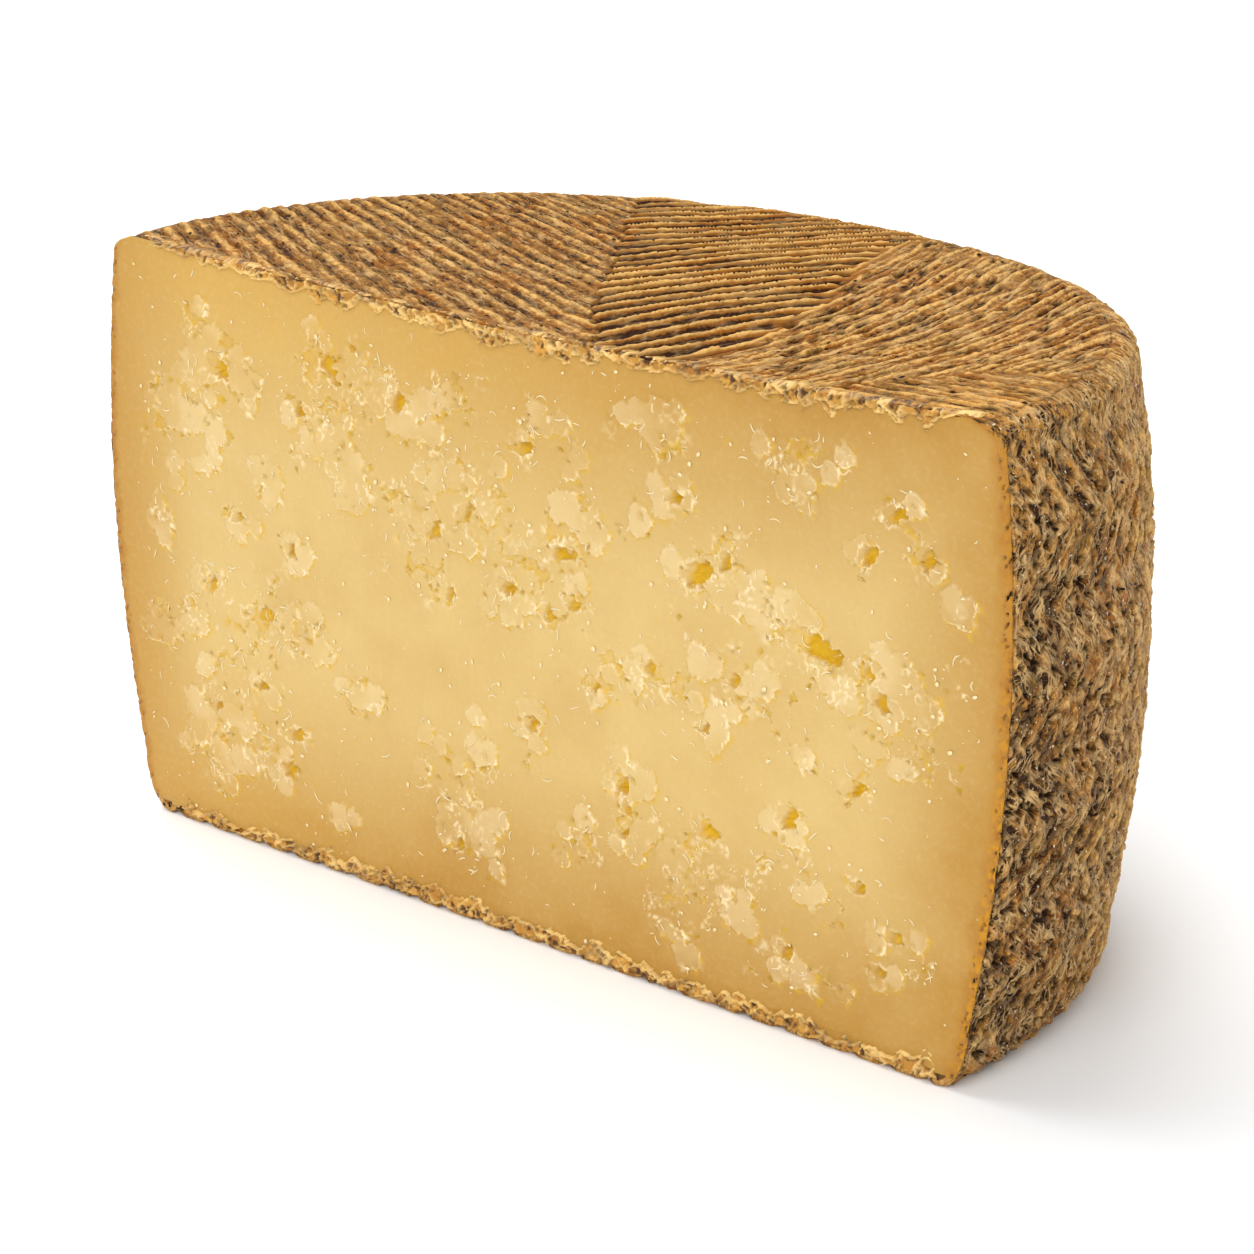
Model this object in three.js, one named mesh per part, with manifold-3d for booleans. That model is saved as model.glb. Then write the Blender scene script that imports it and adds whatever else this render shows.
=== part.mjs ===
// Half of a pressed cheese wheel, cut straight down through its middle and standing on its base.
//
// The half is one solid. The wall is a slightly barrelled drum with the slanting ridges of the
// plaited belt that the cheese was pressed in, band over band, and both ends carry the straight
// ridges of the press boards. The wheel is shaped round the Z axis first and then settled: a little
// out of round, leaning and sunk to one side, as a soft cheese leaves its mould. Only then is it
// cut. The knife leaves a thin torn lip of rind along the top and bottom edges of the cut, small
// eyes, and shallow beds where flakes of the paste came away.
//
// Millimetres, +Z up, cut face towards -Y, origin on the ground under the middle of the half's box.

import * as THREE from 'three';
import { mergeVertices } from 'three/addons/utils/BufferGeometryUtils.js';
import Module from 'manifold-3d';

const wasm = await Module();
wasm.setup();

// ---- Driving dimensions ------------------------------------------------------------------------

const RADIUS = 100; // of the wheel at its widest
const HEIGHT = 111.4; // from the base to the highest ring of the top
const BELLY_HEIGHT = 68.5; // where the wall is widest
const BARREL = 5.4; // how far the wall draws in, half a wheel's height from the belly
const RIM_WIDTH = 8; // rounding of the top rim, measured inwards
const RIM_DROP = 4; // and downwards
const TOE_WIDTH = 5.8; // rounding of the bottom edge, measured inwards
const TOE_HEIGHT = 11.3; // and upwards
const SAG = 2.2; // dip of the top's middle below its rim

const BAND = HEIGHT / 9; // height of one band of the plaited belt
const BELT_PITCH = 4; // across the belt's ridges
const BELT_RELIEF = 0.45; // crest above the mean wall, and groove below it
const BASE_GROOVE = 0.8; // depth of the grooves between the base's flat lands
const SPARE = 30; // how far a cutting tool reaches past the cheese

const OVAL = { share: 0.012, heading: 12.6 }; // widest across this heading, as a share of the radius
const LOBED = { share: 0.038, heading: 35.7 }; // three slight bulges, the first at this heading
const LEAN = { x: 1.05, y: -5.25 }; // how far the top stands off the base
const TILT = { x: 0.0085, y: 0.0071 }; // rise of the top for each radius to the right and back

const LIP = 0.8; // how far the torn rind stands out of the cut
const LIP_HEIGHT = 2.6; // of the lip along the top and bottom edges, on average
const LIP_RAGGED = 0.9; // how far its edge wanders up and down
const FLAKE_DEPTH = 0.9; // of the bed that a flake leaves

// ---- Helpers -----------------------------------------------------------------------------------

/** Numbers from 0 to 1 that come out the same each time for one seed. */
function seededDraw(seed) {
  let state = seed;
  return () => {
    state = (state + 0x6d2b79f5) | 0;
    let mixed = Math.imul(state ^ (state >>> 15), 1 | state);
    mixed = (mixed + Math.imul(mixed ^ (mixed >>> 7), 61 | mixed)) ^ mixed;
    return ((mixed ^ (mixed >>> 14)) >>> 0) / 2 ** 32;
  };
}

/** The same shape with one vertex where several met, and with its positions only. */
function bare(geometry) {
  const copy = geometry.clone();
  copy.deleteAttribute('normal');
  copy.deleteAttribute('uv');
  return mergeVertices(copy, 1e-4);
}

/** Moves every vertex of a geometry to the place that move(x, y, z, index) returns. */
function reshape(geometry, move) {
  const spots = geometry.attributes.position;
  for (let i = 0; i < spots.count; i++) {
    spots.setXYZ(i, ...move(spots.getX(i), spots.getY(i), spots.getZ(i), i));
  }
  return geometry;
}

/** A closed geometry as a solid that can be cut and joined. Triangles shrunk to a line drop out. */
function toSolid(geometry) {
  const merged = bare(geometry);
  const corners = merged.index.array;
  const kept = [];
  for (let i = 0; i < corners.length; i += 3) {
    const [a, b, c] = [corners[i], corners[i + 1], corners[i + 2]];
    if (a !== b && b !== c && c !== a) kept.push(a, b, c);
  }
  return new wasm.Manifold(new wasm.Mesh({
    numProp: 3,
    vertProperties: new Float32Array(merged.attributes.position.array),
    triVerts: new Uint32Array(kept),
  }));
}

/** A solid as a geometry again. */
function toGeometry(solid) {
  const mesh = solid.getMesh();
  const geometry = new THREE.BufferGeometry();
  geometry.setAttribute('position', new THREE.BufferAttribute(mesh.vertProperties, 3));
  geometry.setIndex(new THREE.BufferAttribute(mesh.triVerts, 1));
  return geometry;
}

// ---- The uncut wheel ---------------------------------------------------------------------------

const barrelRadius = (z) => RADIUS - BARREL * ((z - BELLY_HEIGHT) / (HEIGHT / 2)) ** 2;
const SHOULDER = barrelRadius(HEIGHT - RIM_DROP); // where the wall turns into the rim
const FLAT = SHOULDER - RIM_WIDTH; // where the rim ends and the flat top starts

/** Radius of the smooth wall at a height, with the rounded bottom edge. */
function wallRadius(z) {
  if (z >= TOE_HEIGHT) return barrelRadius(z);
  const below = 1 - Math.max(z, 0) / TOE_HEIGHT;
  return barrelRadius(TOE_HEIGHT) - TOE_WIDTH * (1 - Math.sqrt(1 - below ** 2));
}

/** Height of the smooth top at a place: a shallow dish out to FLAT, then the rounded rim. */
function topHeight(x, y) {
  const reach = Math.hypot(x, y);
  if (reach <= FLAT) return HEIGHT - SAG * (1 - (reach / FLAT) ** 2);
  const steepest = 0.9; // share of the rim's width from which it falls in a straight line
  const across = Math.min((reach - FLAT) / RIM_WIDTH, steepest);
  const fall = (RIM_DROP / RIM_WIDTH) * (steepest / Math.sqrt(1 - steepest ** 2));
  const beyond = Math.max(reach - FLAT - steepest * RIM_WIDTH, 0);
  return HEIGHT - RIM_DROP * (1 - Math.sqrt(1 - across ** 2)) - fall * beyond;
}

/** The drum. Its ridges stand side by side, and turn to the other slant from band to band. */
function drum() {
  const toe = [90, 68, 45, 27, 0].map((turn) => 1 - Math.sin(THREE.MathUtils.degToRad(turn)));
  const heights = [-1, ...toe.map((share) => share * TOE_HEIGHT)];
  for (let z = 1.5 * BAND; z < HEIGHT + BAND; z += BAND) heights.push(z);
  const ridges = Math.round((2 * Math.PI * RADIUS) / (BELT_PITCH * Math.SQRT2));
  const outline = [
    new THREE.Vector2(0, heights[0]),
    ...heights.map((z) => new THREE.Vector2(wallRadius(z), z)),
    new THREE.Vector2(0, heights.at(-1)),
  ];
  const lathe = new THREE.LatheGeometry(outline, 2 * ridges);
  reshape(lathe, (x, z, y, index) => {
    const column = Math.floor(index / outline.length) % (2 * ridges);
    const smooth = Math.hypot(x, y);
    if (smooth < RADIUS / 2) return [0, 0, z]; // the ends of the outline, on the axis
    const slant = Math.abs(((z / BAND + 0.5) % 2) - 1); // 0 to 1 up one band, back up the next
    const angle = (column / ridges) * Math.PI + (slant * BAND) / RADIUS;
    const radius = smooth + (column % 2 ? -BELT_RELIEF : BELT_RELIEF);
    return [radius * Math.cos(angle), radius * Math.sin(angle), z];
  });
  return toSolid(lathe);
}

/**
 * A press board: a slab with straight ridges along `heading`, from the surface that `height` gives
 * out to `back`. `steps` are the corners of one ridge: how far across the pitch, and how high.
 * Along a ridge the corners stand closer together over the rounded rim.
 */
function pressBoard({ heading, pitch, steps, height, back }) {
  const outside = SHOULDER + 3;
  const rows = [];
  for (let start = -outside - pitch; start < outside; start += pitch) {
    for (const [share, rise] of steps) rows.push({ across: start + share * pitch, rise });
  }
  const half = [[0.5, 0], [1, 0], [1, 0.35], [1, 0.7], [1, 1]]; // shares of the flat and of the rim
  const stations = [...half.map(([flat, rim]) => [-flat, -rim]).reverse(), [0, 0], ...half];
  const shortest = 6; // half of the shortest run, so that no two stations fall together
  const slab = new THREE.BoxGeometry(1, 1, 1, stations.length - 1, rows.length - 1, 1);
  reshape(slab, (x, y, z) => {
    const [flatShare, rimShare] = stations[Math.round((x + 0.5) * (stations.length - 1))];
    const { across, rise } = rows[Math.round((y + 0.5) * (rows.length - 1))];
    const flatRun = Math.sqrt(Math.max(FLAT ** 2 - across ** 2, shortest ** 2));
    const wholeRun = Math.sqrt(Math.max(outside ** 2 - across ** 2, (2 * shortest) ** 2));
    const spot = new THREE.Vector2(flatShare * flatRun + rimShare * (wholeRun - flatRun), across);
    spot.rotateAround(new THREE.Vector2(), THREE.MathUtils.degToRad(heading));
    const working = z > 0 === back < 0;
    return [spot.x, spot.y, working ? height(spot.x, spot.y) + rise : back];
  });
  return toSolid(slab);
}

/** The upright column over one field of a board, given by its corners. */
function fieldColumn(corners) {
  const outline = new THREE.Shape(corners.map(([x, y]) => new THREE.Vector2(x, y)));
  const tall = 3 * HEIGHT;
  const column = new THREE.ExtrudeGeometry(outline, { depth: tall, bevelEnabled: false });
  return toSolid(column.translate(0, 0, -tall / 3));
}

/** What the upper board takes away: four fields of ridges that meet along slanting seams. */
function upperBoards() {
  const far = RADIUS + SPARE;
  const near = -20; // the fields end in front of the cut
  const seam = 0.2; // and overlap by this much, so that no skin is left standing between them
  const fields = [
    { heading: -17, pitch: 4.2, relief: 0.5,
      corners: [[-far, near], [28, near], [-76, far], [-far, far]] },
    { heading: 66, pitch: 3.8, relief: 0.5,
      corners: [[28 - seam, near], [31, near], [16, far], [-76 - seam, far]] },
    { heading: 88, pitch: 3.8, relief: 0.35,
      corners: [[31 - seam, near], [62, near], [62, 4], [76, 27], [far, 27], [far, far], [16 - seam, far]] },
    { heading: 3, pitch: 4, relief: 0.4,
      corners: [[62 - seam, near], [far, near], [far, 27 + seam], [76, 27 + seam], [62 - seam, 4]] },
  ];
  return fields.map(({ heading, pitch, relief, corners }) => {
    const steps = [[0, relief], [0.5, -relief]];
    const board = pressBoard({ heading, pitch, steps, height: topHeight, back: HEIGHT + SPARE });
    return board.intersect(fieldColumn(corners));
  });
}

/** What the lower board takes away: flat lands on the ground, with a groove between each two. */
function lowerBoards() {
  const far = RADIUS + SPARE;
  const steps = [[0, 0], [0.5, 0], [0.75, BASE_GROOVE]];
  const board = { pitch: 4.8, steps, height: () => 0, back: -SPARE };
  const left = fieldColumn([[-far, -far], [0.2, -far], [0.2, far], [-far, far]]);
  const right = fieldColumn([[0, -far], [far, -far], [far, far], [0, far]]);
  return [
    pressBoard({ ...board, heading: 40 }).intersect(left),
    pressBoard({ ...board, heading: -40 }).intersect(right),
  ];
}

/** Lets a vertex of the ideal wheel settle into the real one. The ground stays where it is. */
function settle(x, y, z) {
  const degrees = THREE.MathUtils.radToDeg(Math.atan2(y, x));
  const wave = (bulges, { share, heading }) =>
    share * Math.cos(THREE.MathUtils.degToRad(bulges * (degrees - heading)));
  const swell = 1 + wave(2, OVAL) + wave(3, LOBED);
  const [wideX, wideY] = [x * swell, y * swell];
  const lean = z / HEIGHT - 0.5;
  const behind = THREE.MathUtils.clamp((3 * wideY) / RADIUS, 0, 1); // the cut stays upright
  const tilt = 1 + TILT.x * (wideX / RADIUS) + TILT.y * (wideY / RADIUS - 0.4);
  return [wideX + LEAN.x * lean, wideY + LEAN.y * lean * behind, z * tilt];
}

/** The whole wheel, pressed top and bottom and settled, before it is cut. */
function wheel() {
  let pressed = drum();
  for (const board of [...upperBoards(), ...lowerBoards()]) pressed = pressed.subtract(board);
  return toSolid(reshape(toGeometry(pressed), settle));
}

// ---- The cut face ------------------------------------------------------------------------------

/** Extrudes an outline in the plane of the cut, from the front to `depth` behind the face. */
function cutAlong(corners, depth) {
  const outline = new THREE.Shape(corners.map(([x, z]) => new THREE.Vector2(x, z)));
  const block = new THREE.ExtrudeGeometry(outline, { depth: SPARE + depth, bevelEnabled: false });
  return block.rotateX(Math.PI / 2).translate(0, depth, 0);
}

/** Everything in front of the torn lip of the rind. */
function knife() {
  const far = RADIUS + SPARE;
  const slab = new THREE.BoxGeometry(2 * far, far, 3 * HEIGHT);
  return toSolid(slab.translate(0, -LIP - far / 2, HEIGHT / 2));
}

/** The paste between the two ragged lips, which lies a lip's depth further back. */
function pasteRecess(draw) {
  const far = RADIUS + SPARE;
  const step = 4.5;
  const [sideLow, sideHigh] = [12, HEIGHT - 9]; // between these the recess is open to the sides
  const ragged = () => LIP_HEIGHT + LIP_RAGGED * (2 * draw() - 1);
  const lower = [];
  const upper = [];
  for (let x = 1 - RADIUS; x < RADIUS; x += step) {
    lower.push([x, ragged()]);
    upper.unshift([x, settle(x, 0, topHeight(x, 0))[2] - ragged()]);
  }
  const sides = [[far, sideLow], [far, sideHigh], ...upper, [-far, sideHigh], [-far, sideLow]];
  return toSolid(cutAlong([...lower, ...sides], 0));
}

/** The eyes that show most, from left to right: place, size and lean of each on the cut. */
const EYES = [
  { x: -77, z: 47.8, width: 4, height: 3, lean: 0 },
  { x: -72.8, z: 89.8, width: 6, height: 4.5, lean: 20 },
  { x: -64.4, z: 45, width: 9, height: 3, lean: 5 },
  { x: -58, z: 16.7, width: 4, height: 3.5, lean: 0 },
  { x: -54, z: 24, width: 6, height: 2.5, lean: 10 },
  { x: -46, z: 95.6, width: 9, height: 3.5, lean: -45 },
  { x: -28.7, z: 91.6, width: 4.5, height: 3.5, lean: 30 },
  { x: -20, z: 70.5, width: 7, height: 3, lean: 35 },
  { x: -4, z: 63.6, width: 5, height: 3, lean: -20 },
  { x: 0, z: 88.8, width: 4.5, height: 3, lean: 15 },
  { x: 1.4, z: 40.5, width: 5, height: 4, lean: 0 },
  { x: 7, z: 72, width: 11, height: 4, lean: 8 },
  { x: 21.7, z: 33, width: 4, height: 8, lean: 0 },
  { x: 37.5, z: 75.1, width: 9, height: 6, lean: 25 },
  { x: 39.2, z: 31, width: 6, height: 4, lean: -30 },
  { x: 56.7, z: 37.7, width: 6, height: 4, lean: 0 },
  { x: 60.9, z: 69.2, width: 15, height: 6, lean: -12 },
  { x: 70, z: 46, width: 5, height: 3.5, lean: 30 },
  { x: 74, z: 64.5, width: 8, height: 5, lean: -40 },
  { x: 77, z: 88, width: 7, height: 4, lean: 40 },
  { x: 78.4, z: 23, width: 5, height: 3, lean: 0 },
];

/** The broad beds of lighter, torn paste, from left to right. */
const FLAKES = [
  { x: -90.5, z: 37, width: 9, height: 5 },
  { x: -81, z: 79.5, width: 15, height: 5 },
  { x: -81, z: 18, width: 12, height: 9 },
  { x: -59.5, z: 70, width: 7, height: 6 },
  { x: -57.5, z: 45.5, width: 9, height: 5 },
  { x: -43.5, z: 79.5, width: 12, height: 10 },
  { x: -38, z: 36, width: 9, height: 5 },
  { x: -35, z: 94.5, width: 11, height: 8 },
  { x: -17, z: 93.5, width: 7, height: 6 },
  { x: -15.5, z: 18, width: 14, height: 7 },
  { x: 12, z: 79.5, width: 9, height: 6 },
  { x: 30.5, z: 97.5, width: 8, height: 5.5 },
  { x: 30, z: 26, width: 11, height: 8 },
  { x: 49.5, z: 74, width: 11, height: 7 },
  { x: 58, z: 94.5, width: 9, height: 5 },
  { x: 81, z: 65, width: 11, height: 7 },
];

/** A lumpy pocket sunk into the face. */
function eyeSolid({ x, z, width, height, lean }, draw) {
  const finer = width > 8 ? 1 : 0; // only a broad eye shows enough of its wall to need more faces
  const pocket = bare(new THREE.IcosahedronGeometry(1, finer));
  reshape(pocket, (px, py, pz) => {
    const lump = 0.8 + 0.4 * draw();
    return [px * lump, py * lump, pz * lump];
  });
  const depth = 0.35 * (width + height);
  const sunk = 0.15 * depth; // of the pocket's middle behind the face, so that its mouth narrows
  pocket.scale(width / 2, depth, height / 2).rotateY(THREE.MathUtils.degToRad(-lean));
  return toSolid(pocket.translate(x, sunk, z));
}

/** The jagged, shallow bed of one flake, a little deeper on one side than on the other. */
function flakeSolid({ x, z, width, height }, draw) {
  const corners = [];
  const count = 9 + Math.floor(3 * draw());
  for (let i = 0; i < count; i++) {
    const angle = ((i + 0.5 * draw()) / count) * 2 * Math.PI;
    const reach = 0.34 + 0.22 * draw();
    corners.push([width * reach * Math.cos(angle), height * reach * Math.sin(angle)]);
  }
  const bed = cutAlong(corners, FLAKE_DEPTH * (0.7 + 0.6 * draw()));
  const tip = () => THREE.MathUtils.degToRad(8 * draw() - 4);
  return toSolid(bed.rotateX(tip()).rotateZ(tip()).translate(x, 0, z));
}

/** Small eyes and flakes scattered between the named ones, none closer to another than `room`. */
function scatter(count, room, draw) {
  const taken = [...EYES, ...FLAKES];
  const placed = [];
  while (placed.length < count) {
    const spot = { x: (2 * draw() - 1) * (RADIUS - 16), z: 10 + draw() * (HEIGHT - 23) };
    if (taken.every((other) => Math.hypot(other.x - spot.x, other.z - spot.z) > room)) {
      taken.push(spot);
      placed.push(spot);
    }
  }
  return placed;
}

function cutHalf() {
  const draw = seededDraw(41);
  let half = wheel().subtract(knife()).subtract(pasteRecess(draw));
  const smallCount = 30;
  const room = 9;
  const small = scatter(smallCount, room, draw).map((spot, index) => {
    const width = 2.6 + 2.4 * draw();
    const size = { width, height: width * (0.6 + 0.3 * draw()), lean: 90 * draw() - 45 };
    return index % 2 ? eyeSolid({ ...spot, ...size }, draw)
      : flakeSolid({ ...spot, width: 2 * size.width, height: 2 * size.height }, draw);
  });
  const large = [
    ...FLAKES.map((flake) => flakeSolid(flake, draw)),
    ...EYES.map((eye) => eyeSolid(eye, draw)),
  ];
  for (const hollow of [...large, ...small]) half = half.subtract(hollow);
  return half.simplify(0.01);
}

// ---- The part ----------------------------------------------------------------------------------

const geometry = toGeometry(cutHalf());
geometry.computeBoundingBox();
const { min, max } = geometry.boundingBox;
geometry.translate(-(min.x + max.x) / 2, -(min.y + max.y) / 2, -min.z);

const cheese = new THREE.MeshStandardMaterial({ color: 0xc9a564, roughness: 0.75, metalness: 0 });
const halfWheel = new THREE.Mesh(geometry, cheese);
halfWheel.name = 'cheese_half_wheel';

const part = new THREE.Group();
part.add(halfWheel);

export default part;
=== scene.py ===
# %% [markdown]
# # Half a pressed cheese wheel
# This lesson dresses one solid, half of an aged cheese wheel, in rind and paste. The solid already
# has the right size and the right main forms. What it lacks is everything finer than a few
# millimetres: the fibres of the plait, the curd grain of the cut, the torn lip where the knife
# dragged the rind. Each of these becomes a closed mesh of its own that stands in for the solid.
#
# The frame is loaded first. It says where the solid stands, so nothing has to be fitted by eye.

# %% Load the frame
import math

import bpy
import numpy as np
from mathutils import Matrix, Vector


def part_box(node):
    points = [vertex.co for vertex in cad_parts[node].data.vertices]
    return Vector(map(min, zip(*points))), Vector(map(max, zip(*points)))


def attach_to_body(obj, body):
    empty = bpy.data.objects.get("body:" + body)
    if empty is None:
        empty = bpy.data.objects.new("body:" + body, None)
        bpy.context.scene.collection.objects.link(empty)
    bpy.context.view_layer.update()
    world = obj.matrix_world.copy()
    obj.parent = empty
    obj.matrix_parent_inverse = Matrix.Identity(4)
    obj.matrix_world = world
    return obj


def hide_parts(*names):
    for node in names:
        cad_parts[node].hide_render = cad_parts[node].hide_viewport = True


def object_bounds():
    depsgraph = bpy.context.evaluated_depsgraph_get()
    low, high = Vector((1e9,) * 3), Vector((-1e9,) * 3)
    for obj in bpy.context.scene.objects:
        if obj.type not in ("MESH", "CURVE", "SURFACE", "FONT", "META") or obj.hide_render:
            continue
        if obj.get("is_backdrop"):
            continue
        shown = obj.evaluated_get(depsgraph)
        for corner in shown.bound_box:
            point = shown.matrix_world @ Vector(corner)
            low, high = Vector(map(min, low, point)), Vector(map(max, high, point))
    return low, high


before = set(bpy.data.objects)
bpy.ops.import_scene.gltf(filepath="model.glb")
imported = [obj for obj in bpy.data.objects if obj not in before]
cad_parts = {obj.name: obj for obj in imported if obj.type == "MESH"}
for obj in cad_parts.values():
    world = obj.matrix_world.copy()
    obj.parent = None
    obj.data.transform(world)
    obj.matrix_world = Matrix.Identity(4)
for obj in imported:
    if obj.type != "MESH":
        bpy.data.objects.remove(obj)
cad_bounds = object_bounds()

NODE = "cheese_half_wheel"
BODY = "root"
MM = 0.001
box_low, box_high = (np.array(corner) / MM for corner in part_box(NODE))
print("the solid, mm:", box_low.round(1), box_high.round(1))

# %% [markdown]
# ## The wheel in its own round shape
# A pressed wheel is a barrel: widest a little above the middle, with a tall soft bottom edge and a
# tighter top rim. It is easiest to shape it as a perfect round wheel about the Z axis, in
# millimetres, with the cut at y = 0, and to let it settle afterwards. `settle` is that last step:
# it leaves the wheel slightly out of round, leaning, and keeps the cut and the ground flat.

# %% Measures of the wheel, in millimetres
RADIUS = 100.0  # at its widest
HEIGHT = 111.4
BELLY_HEIGHT = 68.5
BARREL = 5.4  # how far the wall draws in, half a height away from the belly
RIM_WIDTH, RIM_DROP = 8.0, 4.0  # rounding of the top rim, inwards and down
TOE_WIDTH, TOE_HEIGHT = 5.8, 11.3  # rounding of the bottom edge, inwards and up
SAG = 2.2  # dip of the top's middle
LIP = 0.8  # how far torn rind stands out in front of the cut
AXIS_X = 0.852  # where the wheel's axis crosses the ground, to the right of the box's middle
CUT_Y = box_low[1] + LIP  # the plane of the cut

OVAL_SHARE, OVAL_HEADING = 0.012, math.radians(12.6)
LOBED_SHARE, LOBED_HEADING = 0.038, math.radians(35.7)
LEAN_X, LEAN_Y = 1.05, -5.25
TILT_X, TILT_Y = 0.0085, 0.0071


def barrel_radius(z):
    return RADIUS - BARREL * ((z - BELLY_HEIGHT) / (HEIGHT / 2)) ** 2


SHOULDER = barrel_radius(HEIGHT - RIM_DROP)
FLAT = SHOULDER - RIM_WIDTH
FOOT = barrel_radius(TOE_HEIGHT) - TOE_WIDTH


def swell(turn):
    """How many times its own radius the wheel reaches in a direction."""
    longer = OVAL_SHARE * np.cos(2 * (turn - OVAL_HEADING))
    return 1 + longer + LOBED_SHARE * np.cos(3 * (turn - LOBED_HEADING))


def settle(x, y, z):
    """The ideal wheel's points, moved to where the soft cheese really lies."""
    reach = swell(np.arctan2(y, x))
    wide_x, wide_y = x * reach, y * reach
    lean = z / HEIGHT - 0.5
    behind = np.clip(3 * wide_y / RADIUS, 0, 1)
    tilt = 1 + TILT_X * wide_x / RADIUS + TILT_Y * (wide_y / RADIUS - 0.4)
    return wide_x + LEAN_X * lean, wide_y + LEAN_Y * lean * behind, z * tilt


def to_frame(x, y, z):
    """Settled points in millimetres, as points of the frame in metres."""
    return np.stack([x + AXIS_X, y + CUT_Y, np.maximum(z, 0)], axis=-1) * MM


def line_of(radii, heights):
    """A section line: radius and height of each of its points."""
    return np.stack([radii, heights], axis=-1)


def unrolled(points):
    """Length along a section line, from its first point to each of its points."""
    steps = np.hypot(*np.diff(points, axis=0).T)
    return np.concatenate([[0], np.cumsum(steps)])


def tangents(points):
    """The direction of a section line at each of its points."""
    steps = np.gradient(points, axis=0)
    return steps / np.hypot(*steps.T)[:, None]


print(f"shoulder {SHOULDER:.1f}, flat top {FLAT:.1f}, foot {FOOT:.1f}")

# %% [markdown]
# ## Repeatable chance
# Nothing on a cheese is quite regular, yet the script has to build the same cheese each time. So
# all chance comes from the whole numbers of a grid: `chance` turns a pair of them into a number
# from 0 to 1. `rolling` blends it into soft hills and `strands` draws such hills out into fibres.
# `grains` scatters one point in each square, which gives the curd its granules and the torn lips
# their cups, and `dotted` turns some of those points into the rind's pits.

# %% Chance, hills and grains
def chance(column, row, seed):
    """A number from 0 to 1 for each pair of whole numbers, always the same one."""
    column, row = np.asarray(column).astype(np.int64), np.asarray(row).astype(np.int64)
    mixed = (column * 374761393 + row * 668265263 + seed * 974634777) & 0x7FFFFFFF
    mixed = ((mixed ^ (mixed >> 13)) * 1274126177) & 0x7FFFFFFF
    mixed = (mixed ^ (mixed >> 16)) & 0xFFFFFF
    return mixed / 0xFFFFFF


def rolling(x, y, seed):
    """Soft hills and dales between -1 and 1, one or two to each unit of length."""
    column, row = np.floor(x), np.floor(y)
    along, up = x - column, y - row
    along, up = along * along * (3 - 2 * along), up * up * (3 - 2 * up)
    low = chance(column, row, seed) * (1 - along) + chance(column + 1, row, seed) * along
    high = chance(column, row + 1, seed) * (1 - along) + chance(column + 1, row + 1, seed) * along
    return 2 * (low * (1 - up) + high * up) - 1


def rough(x, y, seed, octaves=3):
    """Hills with smaller hills on them."""
    parts = [rolling(x * 2**k, y * 2**k, seed + k) / 2**k for k in range(octaves)]
    return sum(parts) / 1.5


def sway(x, size, seed):
    """Hills along a line, of about this size."""
    return rough(x / size, 0 * x, seed)


def strands(across, along, seed, wide, length):
    """Long ridges that merge and split: 1 along their middles and 0 between them."""
    drift = 0.7 * rough(across / 6, along / (1.5 * length), seed)
    hills = rough((across + drift) / wide, along / length, seed + 5, 2)
    return 1 - np.minimum(2.4 * np.abs(hills), 1)


def grains(x, y, seed, loose=0.8):
    """How far the nearest and the second nearest scattered point are, and the nearest's chance."""
    column, row = np.floor(x), np.floor(y)
    first = np.full(x.shape, 9.0)
    second = np.full(x.shape, 9.0)
    luck = np.zeros(x.shape)
    for right in (-1, 0, 1):
        for up in (-1, 0, 1):
            i, j = column + right, row + up
            spot_x = i + 0.5 + loose * (chance(i, j, seed) - 0.5)
            spot_y = j + 0.5 + loose * (chance(i, j, seed + 1) - 0.5)
            reach = np.hypot(x - spot_x, y - spot_y)
            nearer = reach < first
            second = np.where(nearer, first, np.minimum(second, reach))
            luck = np.where(nearer, chance(i, j, seed + 2), luck)
            first = np.where(nearer, reach, first)
    return first, second, luck


def ease(low, high, value):
    """0 below low, 1 above high, and a smooth step between."""
    share = np.clip((value - low) / (high - low), 0, 1)
    return share * share * (3 - 2 * share)


def dotted(x, y, seed, chosen, size):
    """1 on small round spots: chosen eases in with a spot's luck, size with the way to it."""
    first, _, luck = grains(x, y, seed)
    return ease(*chosen, luck) * ease(*size, first)

# %% [markdown]
# ## Small tools for meshes
# Operators act on whatever is selected, so every step starts by selecting nothing. The two
# functions for points read and write all vertices at once, which is how a sculptor's push and pull
# is done in code. `attach` names the body that a finished piece rides on and hides the solid that
# it stands for.

# %% Helpers for editing
def select_only(thing):
    for other in bpy.context.selected_objects:
        other.select_set(False)
    thing.select_set(True)
    bpy.context.view_layer.objects.active = thing


def read_points(thing):
    flat = np.empty(3 * len(thing.data.vertices))
    thing.data.vertices.foreach_get("co", flat)
    return flat.reshape(-1, 3)


def write_points(thing, points):
    thing.data.vertices.foreach_set("co", np.ascontiguousarray(points, dtype=float).ravel())
    thing.data.update()


def store(thing, name, values):
    """Keeps one number for each vertex under a name that a material can read."""
    layer = thing.data.attributes.new(name, "FLOAT", "POINT")
    layer.data.foreach_set("value", np.ascontiguousarray(values, dtype=np.float32))


def store_vector(thing, name, across, along):
    """Keeps a place on the surface for each vertex, in millimetres across and along its fibres."""
    layer = thing.data.attributes.new(name, "FLOAT_VECTOR", "POINT")
    triples = np.stack([across, along, np.zeros_like(across)], axis=-1)
    layer.data.foreach_set("vector", np.ascontiguousarray(triples, dtype=np.float32).ravel())


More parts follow.
